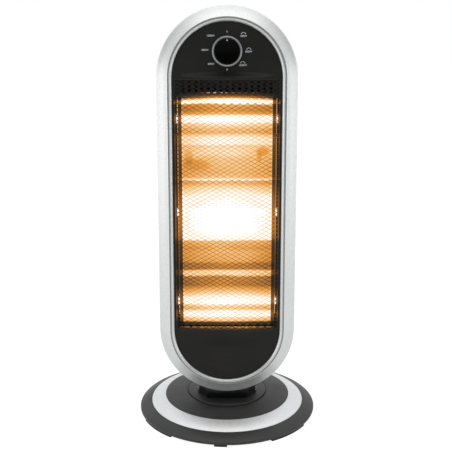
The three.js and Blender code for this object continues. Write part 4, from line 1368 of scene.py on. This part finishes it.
    def build(self) -> None:
        """Makes the knob and the marks and dresses the ring, shaft and switch."""
        self.knob()
        self.print_marks()
        ring = new_object("dial_ring", eased("knob_ring", 0.4), IN_PLACE)
        settle(ring, "head", Finishes.CHROME, ("knob_ring",))
        self.repaint(("switch_shaft",), Finishes.ZINC)
        self.repaint(("rotary_switch",), Finishes.PHENOLIC)


# ---------------------------------------------------------------- studio
@dataclass
class Studio:
    """White studio with soft, level light, and the camera at the photograph's place."""

    camera_place: Point = (0.0, -1.29525, 0.63743)
    pitch: float = 14.96  # degrees below level
    lens: float = 71.63
    shift: Pair = (-0.0024, 0.00015)
    aim: Point = (0.0, 0.0, 0.3)  # point that the lamps look at
    sky: float = 0.48
    floor_lift: float = 0.88
    floor_half: float = 6.0
    flag_half: Point = (5.0, 1.0, 1.3)
    flag_place: Point = (0.0, -2.8, 1.9)

    def camera(self) -> None:
        """Sets the camera up."""
        data = bpy.data.cameras.new("camera")
        data.lens = self.lens
        data.sensor_width = 36.0
        data.shift_x, data.shift_y = self.shift
        made = bpy.data.objects.new("camera", data)
        made.location = self.camera_place
        made.rotation_euler = (math.radians(90 - self.pitch), 0, 0)
        bpy.context.scene.collection.objects.link(made)
        bpy.context.scene.camera = made

    def lamp(self, name: str, place: Point, size: float, watts: float) -> None:
        """Adds a square soft light that looks at the heater.

        Args:
            name: its name.
            place: where it hangs.
            size: its side in metres.
            watts: its power.
        """
        data = bpy.data.lights.new(name, "AREA")
        data.size = size
        data.energy = watts
        made = bpy.data.objects.new(name, data)
        made.location = place
        made.rotation_euler = (Vector(self.aim) - Vector(place)).to_track_quat("-Z", "Y").to_euler()
        bpy.context.scene.collection.objects.link(made)

    @staticmethod
    def seen_directly(tree: Tree) -> Socket:
        """One where a ray comes from the camera or was mirrored or let through, nought elsewhere."""
        path = add_node(tree, "ShaderNodeLightPath").outputs
        some = add_node(tree, "ShaderNodeMath", {"operation": "MAXIMUM"}, {
            0: path["Is Camera Ray"], 1: path["Is Glossy Ray"],
        }).outputs["Value"]
        return add_node(tree, "ShaderNodeMath", {"operation": "MAXIMUM"}, {
            0: some, 1: path["Is Transmission Ray"],
        }).outputs["Value"]

    def world(self) -> None:
        """Sets up even sky light, seen as plain white."""
        world = bpy.data.worlds.new("studio")
        bpy.context.scene.world = world
        world.use_nodes = True
        tree = world.node_tree
        tree.nodes.clear()
        light = add_node(tree, "ShaderNodeBackground", None, {"Color": linear("#f4f6f8"), "Strength": self.sky})
        white = add_node(tree, "ShaderNodeBackground", None, {"Color": (1, 1, 1, 1), "Strength": 1.0})
        mix = add_node(tree, "ShaderNodeMixShader", None, {
            0: self.seen_directly(tree), 1: light.outputs[0], 2: white.outputs[0],
        })
        add_node(tree, "ShaderNodeOutputWorld", None, {"Surface": mix.outputs[0]})

    def floor(self) -> None:
        """Lays the white floor, which keeps a soft shadow."""
        bm = bmesh.new()
        bmesh.ops.create_grid(bm, x_segments=1, y_segments=1, size=self.floor_half)
        made = new_object("studio_floor", bm, IN_PLACE)
        made.data.materials.append(self.floor_material())

    def flag(self) -> None:
        """Stands a black cloth behind the camera, which only mirrors see."""
        bm = bmesh.new()
        bmesh.ops.create_grid(bm, x_segments=1, y_segments=1, size=1.0, matrix=UPRIGHT)
        bmesh.ops.scale(bm, vec=self.flag_half, verts=bm.verts)
        bmesh.ops.translate(bm, vec=self.flag_place, verts=bm.verts)
        made = new_object("studio_flag", bm, IN_PLACE)
        made.data.materials.append(Grained("black studio cloth", colour="#141414", roughness=0.9).material())
        for ray in ("camera", "diffuse", "shadow", "transmission"):
            setattr(made, f"visible_{ray}", False)

    def floor_material(self) -> bpy.types.Material:
        """White vinyl, lifted to the background's white where it is seen."""
        material = bpy.data.materials.new("white studio vinyl")
        material.use_nodes = True
        tree = material.node_tree
        tree.nodes.clear()
        plain = add_node(tree, "ShaderNodeBsdfDiffuse", None, {"Color": linear("#e8e8e8")})
        shade = add_node(tree, "ShaderNodeBsdfDiffuse", None, {"Color": (0.35, 0.35, 0.35, 1)})
        lift = add_node(tree, "ShaderNodeEmission", None, {"Color": (1, 1, 1, 1), "Strength": self.floor_lift})
        seen = add_node(tree, "ShaderNodeAddShader", None, {0: shade.outputs[0], 1: lift.outputs[0]})
        mix = add_node(tree, "ShaderNodeMixShader", None, {
            0: self.seen_directly(tree), 1: plain.outputs[0], 2: seen.outputs[0],
        })
        add_node(tree, "ShaderNodeOutputMaterial", None, {"Surface": mix.outputs[0]})
        return material

    def build(self) -> None:
        """Sets up camera, world, floor and lights."""
        bpy.context.scene.view_settings.view_transform = "Standard"
        self.camera()
        self.world()
        self.floor()
        self.flag()
        self.lamp("overhead", (0.0, -0.2, 2.1), size=2.0, watts=12.0)
        self.lamp("left", (-2.0, -0.9, 0.35), size=1.0, watts=6.6)
        self.lamp("right", (2.0, -0.9, 0.35), size=1.0, watts=4.9)


def main() -> None:
    """Builds the studio and every sub-assembly in order."""
    logging.basicConfig(level=logging.INFO, format="%(name)s: %(message)s")
    Studio().build()
    sub_assemblies: list[SubAssembly] = [Foot(), Drive(), Turntable(), Head(), Guard(), Lamps(), Dial()]
    for sub_assembly in sub_assemblies:
        sub_assembly.build()
        LOG.info("%s built", type(sub_assembly).__name__)


if __name__ == "__main__":
    main()
